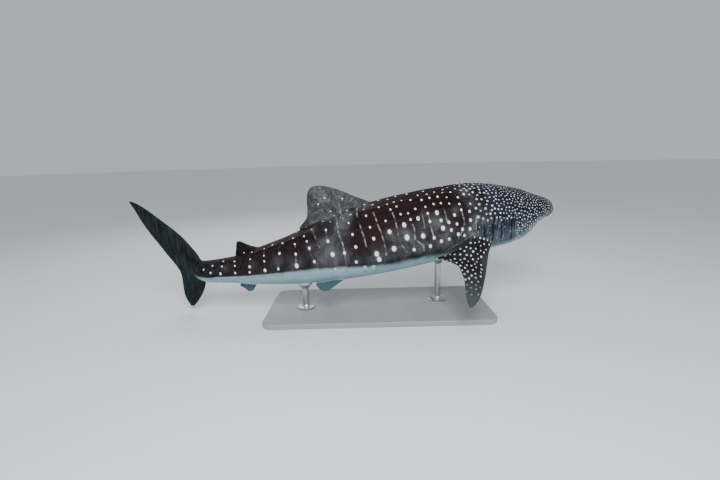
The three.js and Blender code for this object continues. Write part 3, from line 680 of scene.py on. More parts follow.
def fin_mesh(name, part, rows, side, patch_start, patch_width):
    lead, trail, thick, share_out = fin_rows(rows)
    front = place(lead[:, 0], side * lead[:, 1], lead[:, 2])
    rear = place(trail[:, 0], side * trail[:, 1], trail[:, 2])
    chord = rear - front
    span = np.gradient(front + rear, axis=0)
    outward = np.cross(chord, span)
    outward /= np.linalg.norm(outward, axis=1, keepdims=True)
    share = np.linspace(0, 1, FIN_CHORD) ** FIN_ROUND
    half = np.maximum(foil_at(np.sqrt(share))[None] * thick[:, None] / 2, FIN_EDGE / 2)
    half[:, 0] = 0
    on_chord = front[:, None] + chord[:, None] * share[None, :, None]
    upper = on_chord + outward[:, None] * half[..., None]
    lower = on_chord[:, 1:] - outward[:, None] * half[:, 1:, None]
    points = np.concatenate([upper, lower[:, ::-1]], axis=1)
    along = patch_start + patch_width * share_out
    turn = UV_MARGIN + UV_FIN_TURN * np.concatenate([share / 2, 1 - share[1:][::-1] / 2, [1.0]])
    face = np.concatenate([np.ones(FIN_CHORD), -np.ones(FIN_CHORD - 1)])
    return grid_mesh(name, part, points, along, turn, fields={
        "opening_shade": 0.0,
        "span": share_out[:, None],
        "chord": np.concatenate([share, share[1:][::-1]])[None],
        "face": face[None] * side,
    })


# Where the body stands in the frame

def find_origin():
    base_low, base_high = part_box("stand_base")
    under = UNIT * spine_point(BASE_STATION)
    lowest_row = np.array(FINS["caudal"][0][:2])
    ends = spine_point(lowest_row[:, 0]) + spine_frame(lowest_row[:, 0])[2] * lowest_row[:, 2:3]
    middle = (base_low + base_high) / 2
    return np.array([
        middle.x - under[0], middle.y - under[1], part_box(LOWEST_FIN)[0].z - UNIT * ends[:, 2].min(),
    ])


origin = find_origin()


# The whole skin, joined

JOIN_RADIUS = {
    "first_dorsal": 0.085, "second_dorsal": 0.04, "anal": 0.035, "pelvic": 0.035, "pectoral": 0.075,
    "caudal": 0.07,
}
JOIN_ROUNDS = 70
JOIN_CORE = 0.35
JOIN_PULL = 0.5
KEPT_EDGE = (0.7, 0.9)
PARTS = ["body"] + list(FINS)


def joined_skin():
    scene = bpy.context.scene.collection
    body = body_mesh()
    scene.objects.link(body)
    fins = bpy.data.collections.new("fins")
    scene.children.link(fins)
    patch_start = UV_MARGIN
    for name, rows in FINS.items():
        for side in (1, -1) if name in PAIRED_FINS else (1,):
            width = FIN_PATCH_WIDTH[name]
            fin = fin_mesh(name, PARTS.index(name), rows, side, patch_start, width * UV_FIN_FILL)
            fins.objects.link(fin)
            patch_start += width
    join = body.modifiers.new("join", "BOOLEAN")
    join.operation = "UNION"
    join.operand_type = "COLLECTION"
    join.collection = fins
    join.solver = "MANIFOLD"
    mesh = bpy.data.meshes.new_from_object(body.evaluated_get(bpy.context.evaluated_depsgraph_get()))
    for made in list(fins.objects) + [body]:
        bpy.data.objects.remove(made)
    bpy.data.collections.remove(fins)
    skin = bpy.data.objects.new("shark_skin", mesh)
    scene.objects.link(skin)
    return skin


def mesh_arrays(mesh):
    points = np.empty(len(mesh.vertices) * 3, np.float32)
    mesh.vertices.foreach_get("co", points)
    edges = np.empty(len(mesh.edges) * 2, np.int32)
    mesh.edges.foreach_get("vertices", edges)
    return points.reshape(-1, 3).astype(float), edges.reshape(-1, 2)


def corner_parts(mesh):
    """The part of each corner's face, and the corner's edge and vertex."""
    part = get_field(mesh, "part", np.int32)
    totals = np.empty(len(mesh.polygons), np.int32)
    mesh.polygons.foreach_get("loop_total", totals)
    edge = np.empty(len(mesh.loops), np.int32)
    mesh.loops.foreach_get("edge_index", edge)
    vertex = np.empty(len(mesh.loops), np.int32)
    mesh.loops.foreach_get("vertex_index", vertex)
    return np.repeat(part, totals), edge, vertex


def soften_joins(mesh):
    """Rounds the corner where each fin meets the body, but not along the fins' thin trailing
    edges, and gives each point its part."""
    points, edges = mesh_arrays(mesh)
    part, edge, vertex = corner_parts(mesh)
    low = np.full(len(edges), len(PARTS))
    high = np.full(len(edges), -1)
    np.minimum.at(low, edge, part)
    np.maximum.at(high, edge, part)
    at_join = low != high
    weight = np.zeros(len(points))
    for number, name in enumerate(PARTS):
        seam = np.unique(edges[at_join & (high == number)])
        if not len(seam):
            continue
        radius = JOIN_RADIUS[name]
        tree = KDTree(len(seam))
        for i in seam:
            tree.insert(points[i], int(i))
        tree.balance()
        inside = np.all((points > points[seam].min(axis=0) - radius)
                        & (points < points[seam].max(axis=0) + radius), axis=1)
        for i in np.flatnonzero(inside):
            distance = tree.find(points[i])[2]
            weight[i] = max(weight[i], 1 - smooth_step(JOIN_CORE * radius, radius, distance))
    weight *= 1 - smooth_step(*KEPT_EDGE, get_field(mesh, "chord"))
    moving = weight > 0
    used = edges[moving[edges].any(axis=1)]
    start, end = used.T
    size = len(points)
    count = np.maximum(np.bincount(start, minlength=size) + np.bincount(end, minlength=size), 1)
    for _ in range(JOIN_ROUNDS):
        mean = np.stack([
            (np.bincount(start, points[end, k], size) + np.bincount(end, points[start, k], size)) / count
            for k in range(3)
        ], axis=1)
        points[moving] += JOIN_PULL * weight[moving, None] * (mean[moving] - points[moving])
    mesh.vertices.foreach_set("co", points.astype(np.float32).ravel())
    mesh.update()
    part_of = np.zeros(size, int)
    np.maximum.at(part_of, vertex, part)
    return points, part_of


# The camera, also used to place what the photo shows

def camera_matrix():
    pitch = math.radians(CAMERA_PITCH)
    roll = math.radians(CAMERA_ROLL)
    forward = Vector((0, math.cos(pitch), -math.sin(pitch)))
    rise = Vector((0, math.sin(pitch), math.cos(pitch)))
    level = Vector((1, 0, 0))
    right = level * math.cos(roll) - rise * math.sin(roll)
    above = level * math.sin(roll) + rise * math.cos(roll)
    matrix = Matrix((right, above, -forward)).transposed().to_4x4()
    matrix.translation = Vector(origin + UNIT * np.array(CAMERA_PLACE))
    return matrix


def photo_direction(x, y):
    view = Vector((x - PHOTO_WIDTH / 2, PHOTO_HEIGHT / 2 - y, -FOCAL_PIXELS))
    return (camera_matrix().to_3x3() @ view).normalized()


# Markings, each placed where the photo shows it: (x, y) on the photo

FLANK_SPOTS = [
    (203.6, 269.7), (210.5, 273), (212.5, 265.8), (223.3, 261.3), (221.8, 266.5), (220.4, 273.8),
    (234.8, 265.9), (234.4, 261.3), (235.1, 273), (252, 252.1), (250.1, 259.2), (249.6, 266.8),
    (249.7, 272.3), (264.3, 248.7), (263.9, 255.7), (264.3, 261.3), (272.3, 244.9), (282.5, 243),
    (278.3, 269), (293, 238.1), (294.7, 244.1), (295.7, 254.1), (304, 236.1), (306.8, 241.3),
    (309.3, 248.3), (314.4, 261.7), (325.9, 229.9), (327.9, 241.3), (335.4, 269), (344.5, 253),
    (348.6, 222.9), (352.5, 234.5), (355.8, 247), (356.3, 262), (366, 215.8), (370, 227.2),
    (373.7, 238.6), (378.7, 207.1), (387.1, 204.3), (390.4, 209.5), (385.6, 220.9), (393.7, 202.1),
    (396.5, 206.4), (401.4, 200.5), (410.3, 199.9), (417.6, 195.3), (421.5, 199.9), (426.7, 194.3),
    (429.4, 197.8), (433.9, 192.1), (437.5, 196.6), (442.4, 192.5), (450.3, 192.1), (455.1, 188.7),
    (464.5, 184.9), (471.8, 186.5), (477.9, 187.1), (457.8, 197.3), (463.7, 194.1), (472.8, 192.2),
    (476.6, 199.1), (470.2, 203.7), (459.4, 204), (449.2, 203.6), (440.9, 203.1), (433.6, 204),
    (425.4, 206.9), (415.3, 208.9), (408.1, 213.3), (400.7, 214.2), (410.6, 219.5), (427.7, 213.3),
    (454.5, 215), (469.6, 211.4), (461.3, 209.8), (470.6, 220.2), (457, 224), (448.9, 222.3),
    (441.1, 220.4), (429.9, 221.4), (451.4, 230), (462.6, 229.2), (470.1, 228.9), (434.2, 237.8),
    (441.5, 241.2), (449.2, 239.1), (458.4, 234.3), (464.5, 235.6), (414.1, 249.6), (430.4, 246.1),
]
LARGE_SPOTS = [
    (265, 270.4), (279.4, 253.3), (296.7, 265.8), (332.6, 254.4), (376.7, 254), (379.2, 259.5),
    (389.5, 231.8), (394, 248.7), (404.2, 224.9), (418.1, 218.5), (437, 212.6), (407.1, 237.5),
    (423.2, 235.9), (443.1, 228.1),
]
FAINT_SPOTS = [(365, 267.4), (374, 266.8)]
DORSAL_SPOTS = [
    (324.5, 197.8), (318.2, 204.3), (342.3, 198.6), (330.5, 211.3), (322.8, 221.3), (364.3, 204.5),
    (347.1, 210.6),
]
SPOT_RADIUS = 0.0165
LARGE_SPOT_RADIUS = 0.0245
DORSAL_SPOT_RADIUS = 0.014
SPOT_STRETCH = 1.3
BACK_SHRINK = 0.3
BACK_HEIGHT = (0.2, 0.75)
TAIL_SHRINK = 0.22
TAIL_START = (0.55, 0.68)
FAINT = 0.4
RIGHT_SIZES = (0.88, 1.12)
LEFT_SIZES = (0.85, 1.15)
DOT_SIZES = (0.75, 1.25)
DOT_BRIGHTNESS = (0.55, 1.0)
SPOT_MARGIN = 0.45
SPOTS_COMPARED = 3

BARS = [
    [(334.2, 215.2), (336.5, 219.2), (337.5, 225.2), (337.9, 231.3), (340.5, 238.6), (343.5, 246.7),
     (344.6, 253)],
    [(339.2, 203.8), (340.5, 212.5), (342.9, 218.5)],
    [(355.6, 201.8), (356.9, 208.5), (356.9, 214.5), (360.3, 226.6), (363.3, 235.3), (366.3, 246)],
    [(370.7, 204.5), (374, 214.5), (376.7, 221.2), (378.4, 226.2), (381.4, 233.3), (383.6, 240.8),
     (385.6, 248.3), (386.2, 255)],
    [(392.4, 212.6), (395.3, 220.9), (397.5, 231.1), (399.8, 240.7), (403.6, 247.7), (406.8, 251.5)],
    [(412.5, 224.1), (414.4, 229.2), (415.1, 238.8), (419.5, 242.6), (423.4, 245.8), (424, 250.3)],
    [(427.7, 213.3), (429.9, 221.4), (432, 230.5), (434.2, 237.8)],
    [(443.1, 208.2), (445.4, 213.3), (446.6, 219.6), (448.9, 222.3)],
    [(461.3, 209.8), (462.9, 215.8), (464.5, 222.8), (462.9, 229.2), (457.2, 241.3)],
    [(476.3, 215.8), (476.3, 229.2)],
]
FAINT_BARS = [
    [(421.8, 210.7), (422.4, 215.8), (424, 222.2), (424.6, 227.9)],
    [(313.1, 230.6), (315.8, 239.3), (319.8, 248)],
    [(295.3, 245.3), (295.7, 254), (296, 262.9)],
    [(309.3, 248.3), (311.5, 255), (314.4, 261.7)],
    [(325.9, 229.9), (326.5, 235), (327.9, 241.3)],
    [(344.5, 253), (345.5, 259), (346, 264)],
    [(264.1, 248.7), (263.9, 261)],
    [(250.6, 252), (249.6, 272)],
    [(234.6, 256), (235, 274)],
    [(279, 247), (278.6, 268)],
    [(222.5, 260), (220.6, 274)],
]
PECTORAL_RIMS = [
    [(474.2, 233.6), (469.5, 236.6), (465, 239.8), (458, 244), (450, 248.6), (443, 252.6)],
    [(436, 258.4), (444, 260.4), (454, 262.2)],
]
# Grey clouds on the dark skin: (x, y) on the photo, radius in metres, strength
GREY_PATCHES = [
    (331, 217, 0.11, 1.0), (341, 218, 0.10, 1.0), (348, 214, 0.07, 0.9), (339, 229, 0.10, 0.9),
    (331, 253, 0.16, 0.9), (345, 258, 0.08, 0.5), (325, 244, 0.08, 0.5), (318, 216, 0.08, 0.6),
    (322, 262, 0.08, 0.5), (362, 206, 0.09, 0.8), (312, 229, 0.06, 0.5), (309, 246, 0.05, 0.3),
    (391, 236, 0.07, 0.5), (406, 236, 0.09, 0.7), (403, 248, 0.12, 0.6), (380, 256, 0.12, 0.6),
    (422, 228, 0.06, 0.5), (424, 213, 0.05, 0.4), (437, 222, 0.09, 0.6), (419, 243, 0.11, 0.7),
    (444, 236, 0.14, 0.7), (456, 209, 0.05, 0.5), (466, 193, 0.09, 0.8), (471, 203, 0.06, 0.5),
    (480, 218, 0.09, 1.0), (474, 232, 0.09, 0.8), (460, 243, 0.1, 0.7), (278, 262, 0.07, 0.35),
    (295, 263, 0.08, 0.4), (253, 266, 0.05, 0.3), (225, 268, 0.05, 0.3), (362, 262, 0.08, 0.4),
]
BAR_STEP = 0.012
BAR_HALF_WIDTH = 0.0072
BAR_REACH = 0.04
BAR_STRENGTH = 0.62
RIM_STRENGTH = 0.35
SIDE_SHIFT = 0.012
SEED = 11


def height_share(station, up):
    """The height within the body's section, from -1 at the belly to 1 at the back."""
    middle = middle_at(station)
    half = np.where(up > middle, top_at(station) - middle, middle - bottom_at(station))
    return (up - middle) / half


class Markings:
    """Round spots and thin bars on the skin."""

    def __init__(self, skin):
        self.bvh = BVHTree.FromObject(skin, bpy.context.evaluated_depsgraph_get())
        self.random = np.random.default_rng(SEED)
        self.eye = camera_matrix().translation
        self.spots = []
        self.bars = []
        self.patches = []

    def on_skin(self, x, y):
        hit = self.bvh.ray_cast(self.eye, photo_direction(x, y))[0]
        return None if hit is None else np.array(hit)

    def mirrored(self, points, shift):
        station, across, up = body_places(points)
        other = place(station + shift[0] / UNIT, -across, up + shift[1] / UNIT)
        return np.array([self.bvh.find_nearest(Vector(p))[0] for p in other])

    def add_spots(self, photo_places, radius, strength=1.0, stretch=SPOT_STRETCH):
        hits = [self.on_skin(*p) for p in photo_places]
        hits = np.array([h for h in hits if h is not None])
        station, _, up = body_places(hits)
        on_back = smooth_step(*BACK_HEIGHT, height_share(station, up))
        on_tail = smooth_step(*TAIL_START, station)
        sizes = radius * (1 - BACK_SHRINK * on_back) * (1 - TAIL_SHRINK * on_tail)
        for point, size in zip(hits, sizes):
            self.spots.append((point, size * self.random.uniform(*RIGHT_SIZES), strength, stretch))
            shift = self.random.normal(0, SIDE_SHIFT, 2)
            other = self.mirrored(point[None], shift)[0]
            self.spots.append((other, size * self.random.uniform(*LEFT_SIZES), strength, stretch))

    def add_bar(self, photo_places, strength):
        hits = [self.on_skin(*p) for p in photo_places]
        line = np.array([h for h in hits if h is not None])
        length = np.concatenate([[0], np.cumsum(np.linalg.norm(np.diff(line, axis=0), axis=1))])
        at = np.linspace(0, length[-1], max(2, int(length[-1] / BAR_STEP)))
        fine = np.stack([smooth_curve(list(zip(length, line[:, k])))(at) for k in range(3)], axis=1)
        self.bars.append((fine, strength))
        self.bars.append((self.mirrored(fine, self.random.normal(0, SIDE_SHIFT, 2)), strength))

    def add_patch(self, x, y, radius, strength):
        centre = self.on_skin(x, y)
        if centre is not None:
            other = self.mirrored(centre[None], self.random.normal(0, SIDE_SHIFT, 2))[0]
            self.patches += [(centre, radius, strength), (other, radius, strength)]

    def patch_field(self, points):
        """How grey each point is, from 0 to 1."""
        dark = np.ones(len(points))
        for centre, radius, strength in self.patches:
            distance = np.linalg.norm(points - centre, axis=1)
            dark *= 1 - strength * hill(distance, 0, radius)
        return 1 - dark

    def add_dots(self, points, spacing, radius, strength):
        """Small dots at random places at least a spacing apart; each value is per point."""
        order = self.random.permutation(len(points))
        cell = float(spacing.max())
        taken = {}
        for centre, size, _, _ in self.spots:
            key = tuple(np.floor(centre / cell).astype(int))
            taken.setdefault(key, []).append((centre, size + float(spacing.mean()) * SPOT_MARGIN))
        around = [(i, j, k) for i in (-1, 0, 1) for j in (-1, 0, 1) for k in (-1, 0, 1)]
        cells = np.floor(points / cell).astype(int)
        for index in order:
            point = points[index]
            key = cells[index]
            gap = spacing[index]
            near = (other for step in around for other in taken.get(tuple(key + step), ()))
            if any(np.sum((point - centre) ** 2) < max(gap, reach) ** 2 for centre, reach in near):
                continue
            taken.setdefault(tuple(key), []).append((point, 0.0))
            size = radius[index] * self.random.uniform(*DOT_SIZES)
            bright = strength[index] * self.random.uniform(*DOT_BRIGHTNESS)
            self.spots.append((point, size, bright, 1.0))

    def spot_fields(self, points, station):
        """How far inside its nearest spot each point is, as a share of the radius, and how bright."""
        tree = KDTree(len(self.spots))
        for i, spot in enumerate(self.spots):
            tree.insert(spot[0], i)
        tree.balance()
        centres = np.array([s[0] for s in self.spots])
        radii = np.array([s[1] for s in self.spots])
        bright = np.array([s[2] for s in self.spots])
        stretch = np.array([s[3] for s in self.spots])
        nearest = np.array([[f[1] for f in tree.find_n(p, SPOTS_COMPARED)] for p in points])
        back = spine_direction(station)
        best = np.full(len(points), -1.0)
        strength = np.ones(len(points))
        for k in range(nearest.shape[1]):
            i = nearest[:, k]
            offset = points - centres[i]
            along = np.sum(offset * back, axis=1)
            rest = np.sum(offset ** 2, axis=1) - along ** 2
            inside = 1 - np.sqrt(along ** 2 + np.maximum(rest, 0) / stretch[i] ** 2) / radii[i]
            better = inside > best
            best = np.where(better, inside, best)
            strength = np.where(better, bright[i], strength)
        return best, strength

    def bar_fields(self, points):
        """The distance to the nearest bar, in metres, and how bright that bar is."""
        pieces = [(a, b, s) for line, s in self.bars for a, b in zip(line[:-1], line[1:])]
        tree = KDTree(len(pieces))
        for i, (a, b, _) in enumerate(pieces):
            tree.insert((a + b) / 2, i)
        tree.balance()
        starts = np.array([p[0] for p in pieces])
        steps = np.array([p[1] - p[0] for p in pieces])
        bright = np.array([p[2] for p in pieces])
        nearest = np.array([tree.find(p)[1] for p in points])
        a = starts[nearest]
        step = steps[nearest]
        t = np.clip(np.sum((points - a) * step, axis=1) / np.sum(step ** 2, axis=1), 0, 1)
        distance = np.linalg.norm(points - a - step * t[:, None], axis=1)
        return np.minimum(distance, BAR_REACH), bright[nearest]


# Colour zones

# By station: the height share at which the belly begins, how soft that line is, and how grey the
# low flank is
BELLY_LINE = [
    (0.024, -0.62), (0.05, -0.55), (0.08, -0.45), (0.11, -0.55), (0.15, -0.74), (0.22, -0.75),
    (0.28, -0.70), (0.34, -0.61), (0.43, -0.55), (0.5, -0.34), (0.56, -0.21), (0.62, -0.16),
    (0.7, -0.13), (0.77, -0.11), (0.79, -0.02), (0.82, 0.0),
]
BELLY_SOFTNESS = [(0.024, 0.3), (0.1, 0.25), (0.2, 0.18), (0.35, 0.14), (0.5, 0.08), (0.83, 0.06)]
GREY_SHARE = [(0.024, 0.3), (0.1, 0.7), (0.15, 1.0), (0.24, 0.8), (0.4, 0.5), (0.6, 0.2), (0.83, 0.1)]
# Stations over which one colour passes into the next
FADE_INTO_BACK = (0.17, 0.27)
FADE_INTO_TAIL = (0.7, 0.82)
FADE_HEAD_GREY = (0.2, 0.34)
FADE_SNOUT = (0.025, 0.07)
FADE_BELLY = (0.79, 0.815)
# Heights over the belly's line between which the grey of the low flank fades out
GREY_HEIGHT = (0.1, 0.75)
PATCH_SHARE = 0.85
# Heights over the back between which the first dorsal fin's painted light begins, at its front and rear;
# the fin is painted a lighter grey for the light its upright side catches
DORSAL_BASE_FRONT = (-0.008, 0.012)
DORSAL_BASE_REAR = (-0.001, 0.002)
DORSAL_REAR = (0.45, 0.7)
SECOND_DORSAL_BASE = (0, 0.008)
SECOND_DORSAL_LIGHTER = 1.2
# Shares of the span or the chord between which a fin's colours change
PECTORAL_BASE = (0.0, 0.12)
PECTORAL_TIP = (0.6, 0.95)
PECTORAL_EDGE = (0.03, 0.2)
PECTORAL_EDGE_SHARE = 0.8
PALE_FIN_BASE = (0.15, 0.4)
BACK_COLOUR = np.array([0.0085, 0.0016, 0.0022])
HEAD_COLOUR = np.array([0.0095, 0.0100, 0.0190])
GREY_COLOUR = np.array([0.030, 0.038, 0.042])
HEAD_GREY_COLOUR = np.array([0.062, 0.088, 0.112])
PATCH_COLOUR = np.array([0.070, 0.075, 0.083])
# The belly's real pale tone with painted shade: dimmed and tinted teal, as the underside looks in dim water
# light
PALE_BELLY_AND_SHADE_COLOUR = np.array([0.26, 0.395, 0.43])
# Painted light: the first dorsal fin's lighter grey stands for the light its upright side catches
DORSAL_PAINTED_LIGHT_COLOUR = np.array([0.068, 0.071, 0.078])
TAIL_COLOUR = np.array([0.0050, 0.0085, 0.0095])
PECTORAL_COLOUR = np.array([0.0120, 0.0115, 0.0130])
PECTORAL_EDGE_COLOUR = np.array([0.045, 0.048, 0.047])
PECTORAL_TIP_COLOUR = np.array([0.040, 0.052, 0.056])
PALE_FIN_COLOUR = np.array([0.055, 0.105, 0.120])
UNDER_FIN_COLOUR = np.array([0.24, 0.33, 0.36])
SNOUT_COLOUR = np.array([0.070, 0.085, 0.112])

# By station, the spacing and radius of the small dots, in metres
DOT_SPACING = [(0.03, 0.026), (0.1, 0.0295), (0.17, 0.036), (0.225, 0.060), (0.3, 0.105), (0.7, 0.12)]
DOT_RADIUS = [(0.03, 0.0062), (0.1, 0.0074), (0.17, 0.0090), (0.225, 0.0135), (0.3, 0.013), (0.7, 0.010)]

# Stations between which a region of small dots lies
HEAD_DOTS = (0.0255, 0.225)
BACK_DOTS = (0.2, 0.78)
GILL_DOTS = (0.13, 0.24)
BACK_DOTS_HEIGHT = 0.8
FREE_OF_GILLS = 0.145
ABOVE_SLIT = 0.004
# Heights under and over the belly's line between which the head's dots grow bright
HEAD_DOTS_UNDER = 0.1
HEAD_DOTS_OVER = 0.35
PECTORAL_DOTS_SPAN = (0.05, 0.88)
PECTORAL_DOTS_CHORD = (0.17, 0.94)
PECTORAL_DOTS_FADE = (0.55, 0.86)
PECTORAL_DOT_SPACING = 0.046
PECTORAL_DOT_RADIUS = 0.0112
PECTORAL_DOT_LOSS = 0.8
GILL_DOTS_OVER = 0.1
GILL_DOT_SPACING = 0.062
GILL_DOT_RADIUS = 0.008
GILL_DOT_STRENGTH = 0.35

dot_spacing_at = smooth_curve(DOT_SPACING)
dot_radius_at = smooth_curve(DOT_RADIUS)
belly_line_at = smooth_curve(BELLY_LINE)
belly_softness_at = smooth_curve(BELLY_SOFTNESS)
grey_share_at = smooth_curve(GREY_SHARE)


def between(values, ends):
    return (values > ends[0]) & (values < ends[1])


def mix_number(first, second, share):
    return first + (second - first) * share


def mix(first, second, share):
    """A mix of two colours, or two lists of colours, by a share for each point."""
    return mix_number(first, second, np.asarray(share)[..., None])


def skin_tones(station, up, part, span, chord, face, patch):
    """The skin's colour at each point, with painted light on the first dorsal fin and painted shade in the
    belly's teal, and how much of it is the pale belly.
    """
    def on(*names):
        return np.isin(part, [PARTS.index(name) for name in names]).astype(float)

    height = height_share(station, up)
    colour = mix(HEAD_COLOUR, BACK_COLOUR, smooth_step(*FADE_INTO_BACK, station))
    colour = mix(colour, TAIL_COLOUR, smooth_step(*FADE_INTO_TAIL, station))
    line = belly_line_at(station)
    soft = belly_softness_at(station)
    grey = (1 - smooth_step(*GREY_HEIGHT, height - line)) * grey_share_at(station)
    low_grey = mix(HEAD_GREY_COLOUR, GREY_COLOUR, smooth_step(*FADE_HEAD_GREY, station))
    colour = mix(colour, low_grey, grey)
    colour = mix(colour, PATCH_COLOUR, PATCH_SHARE * patch)
    colour = mix(colour, SNOUT_COLOUR, 1 - smooth_step(*FADE_SNOUT, station))
    belly = 1 - smooth_step(line - soft, line + soft, height)
    belly *= 1 - smooth_step(*FADE_BELLY, station)
    # Painted shade: the pale belly's colour is dimmed and tinted teal
    colour = mix(colour, PALE_BELLY_AND_SHADE_COLOUR, belly)

    above_back = up - top_at(station)
    rear_base = smooth_step(*DORSAL_REAR, chord)
    low, high = (mix_number(*ends, rear_base) for ends in zip(DORSAL_BASE_FRONT, DORSAL_BASE_REAR))
    # Painted light: the first dorsal fin is painted lighter grey than the back, for the light it catches
    colour = mix(colour, DORSAL_PAINTED_LIGHT_COLOUR, smooth_step(low, high, above_back) * on("first_dorsal"))
    second = smooth_step(*SECOND_DORSAL_BASE, above_back) * on("second_dorsal")
    colour = mix(colour, TAIL_COLOUR * SECOND_DORSAL_LIGHTER, second)
    upper = mix(PECTORAL_COLOUR, PECTORAL_TIP_COLOUR, smooth_step(*PECTORAL_TIP, span))
    edge = PECTORAL_EDGE_SHARE * (1 - smooth_step(*PECTORAL_EDGE, chord))
    upper = mix(upper, PECTORAL_EDGE_COLOUR, edge)
    fin = mix(UNDER_FIN_COLOUR, upper, (face > 0).astype(float))
    colour = mix(colour, fin, smooth_step(*PECTORAL_BASE, span) * on("pectoral"))
    colour = mix(colour, PALE_FIN_COLOUR, smooth_step(*PALE_FIN_BASE, span) * on("pelvic", "anal"))
    return mix(colour, TAIL_COLOUR, on("caudal")), belly


def dot_regions(points, station, up, part, span, chord, face):
    """Where the small dots are: points, spacing, radius and strength of each region."""
    height = height_share(station, up)
    body = part == 0
    slit_top = np.interp(station, [s[0] for s in GILL_SLITS], [s[2] for s in GILL_SLITS])
    above_gills = (station < FREE_OF_GILLS) | (up > slit_top + ABOVE_SLIT)
    line = belly_line_at(station)
    on_head = between(station, HEAD_DOTS) & above_gills & (height > line - HEAD_DOTS_UNDER)
    along_back = between(station, BACK_DOTS) & (height > BACK_DOTS_HEIGHT)
    head = body & (on_head | along_back)
    at = station[head]
    fade = smooth_step(line[head] - HEAD_DOTS_UNDER, line[head] + HEAD_DOTS_OVER, height[head])
    yield points[head], dot_spacing_at(at), dot_radius_at(at), (1 + fade) / 2
    pectoral = (part == PARTS.index("pectoral")) & (face > 0)
    pectoral &= between(span, PECTORAL_DOTS_SPAN) & between(chord, PECTORAL_DOTS_CHORD)
    out = span[pectoral]
    yield (points[pectoral], np.full(out.shape, PECTORAL_DOT_SPACING),
           np.full(out.shape, PECTORAL_DOT_RADIUS),
           1 - PECTORAL_DOT_LOSS * smooth_step(*PECTORAL_DOTS_FADE, out))
    gills = body & between(station, GILL_DOTS) & (up < slit_top) & (height > line + GILL_DOTS_OVER)
    count = int(gills.sum())
    yield points[gills], *(
        np.full(count, value) for value in (GILL_DOT_SPACING, GILL_DOT_RADIUS, GILL_DOT_STRENGTH)
    )


SWIRL_START = (0.1, 0.3)
GILL_STREAK_START = (0.11, 0.15)
GILL_STREAK_END = (0.235, 0.26)
GILL_STREAK_LOW = (-0.066, -0.056)
GILL_STREAK_HIGH = (-0.006, 0.012)
GILL_STREAK = 0.7
REAR_STREAK_START = (0.5, 0.62)
REAR_STREAK = 0.12
TAIL_STREAK = 0.13
FAINT_BAR_SHARE = 0.5


def mark_skin(skin, points, part):
    mesh = skin.data
    station, _, up = body_places(points)
    span = get_field(mesh, "span")
    chord = get_field(mesh, "chord")
    face = get_field(mesh, "face")
    marks = Markings(skin)
    marks.add_spots(FLANK_SPOTS, SPOT_RADIUS)
    marks.add_spots(LARGE_SPOTS, LARGE_SPOT_RADIUS)
    marks.add_spots(FAINT_SPOTS, LARGE_SPOT_RADIUS, FAINT)
    marks.add_spots(DORSAL_SPOTS, DORSAL_SPOT_RADIUS, stretch=1.0)
    for line in BARS:
        marks.add_bar(line, BAR_STRENGTH)
    for line in FAINT_BARS:
        marks.add_bar(line, BAR_STRENGTH * FAINT_BAR_SHARE)
    for line in PECTORAL_RIMS:
        marks.add_bar(line, RIM_STRENGTH)
    for patch in GREY_PATCHES:
        marks.add_patch(*patch)
    for region in dot_regions(points, station, up, part, span, chord, face):
        marks.add_dots(*region)
    spot, spot_strength = marks.spot_fields(points, station)
    bar, bar_strength = marks.bar_fields(points)
    patch = marks.patch_field(points)
    tone, belly = skin_tones(station, up, part, span, chord, face, patch)
    swirl = (part == PARTS.index("first_dorsal")) * smooth_step(*SWIRL_START, span)
    gills = smooth_step(*GILL_STREAK_START, station) * (1 - smooth_step(*GILL_STREAK_END, station))
    gills *= smooth_step(*GILL_STREAK_LOW, up) * (1 - smooth_step(*GILL_STREAK_HIGH, up))
    rear = smooth_step(*REAR_STREAK_START, station)
    streak = np.where(part == 0, GILL_STREAK * gills + REAR_STREAK * rear, 0.0)
    streak += TAIL_STREAK * (part == PARTS.index("caudal"))
    fields = {
        "belly": belly, "swirl": swirl, "streak": streak, "patch": patch, "spot": spot,
        "spot_strength": spot_strength, "bar": bar, "bar_strength": bar_strength,
    }
    for name, values in fields.items():
        set_field(mesh, name, values)
    set_field(mesh, "tone", np.concatenate([tone, np.ones((len(tone), 1))], axis=1), "FLOAT_COLOR")


# Materials

SWIRL_COLOUR = (0.026, 0.025, 0.028)
HALO_COLOUR = (0.095, 0.110, 0.120)
STREAK_COLOUR = (0.13, 0.18, 0.215)
BAR_COLOUR = (0.40, 0.37, 0.375)
SPOT_COLOUR = (0.86, 0.88, 0.89)
# Painted shade for the mouth, gill slits and other openings
OPENING_SHADE_COLOUR = (0.006, 0.006, 0.008)
PLINTH_COLOURS = ((0.27, 0.28, 0.29), (0.33, 0.34, 0.35), (0.22, 0.23, 0.24))
STEEL_COLOURS = ((0.42, 0.43, 0.44), (0.56, 0.57, 0.58))
IRIS_COLOURS = ((0.035, 0.028, 0.022), (0.14, 0.115, 0.085))
IRIS_EDGE_COLOUR = (0.012, 0.012, 0.014)
PUPIL_COLOUR = (0.003, 0.003, 0.004)
FLOOR_COLOURS = ((0.77, 0.79, 0.80), (0.80, 0.815, 0.825))


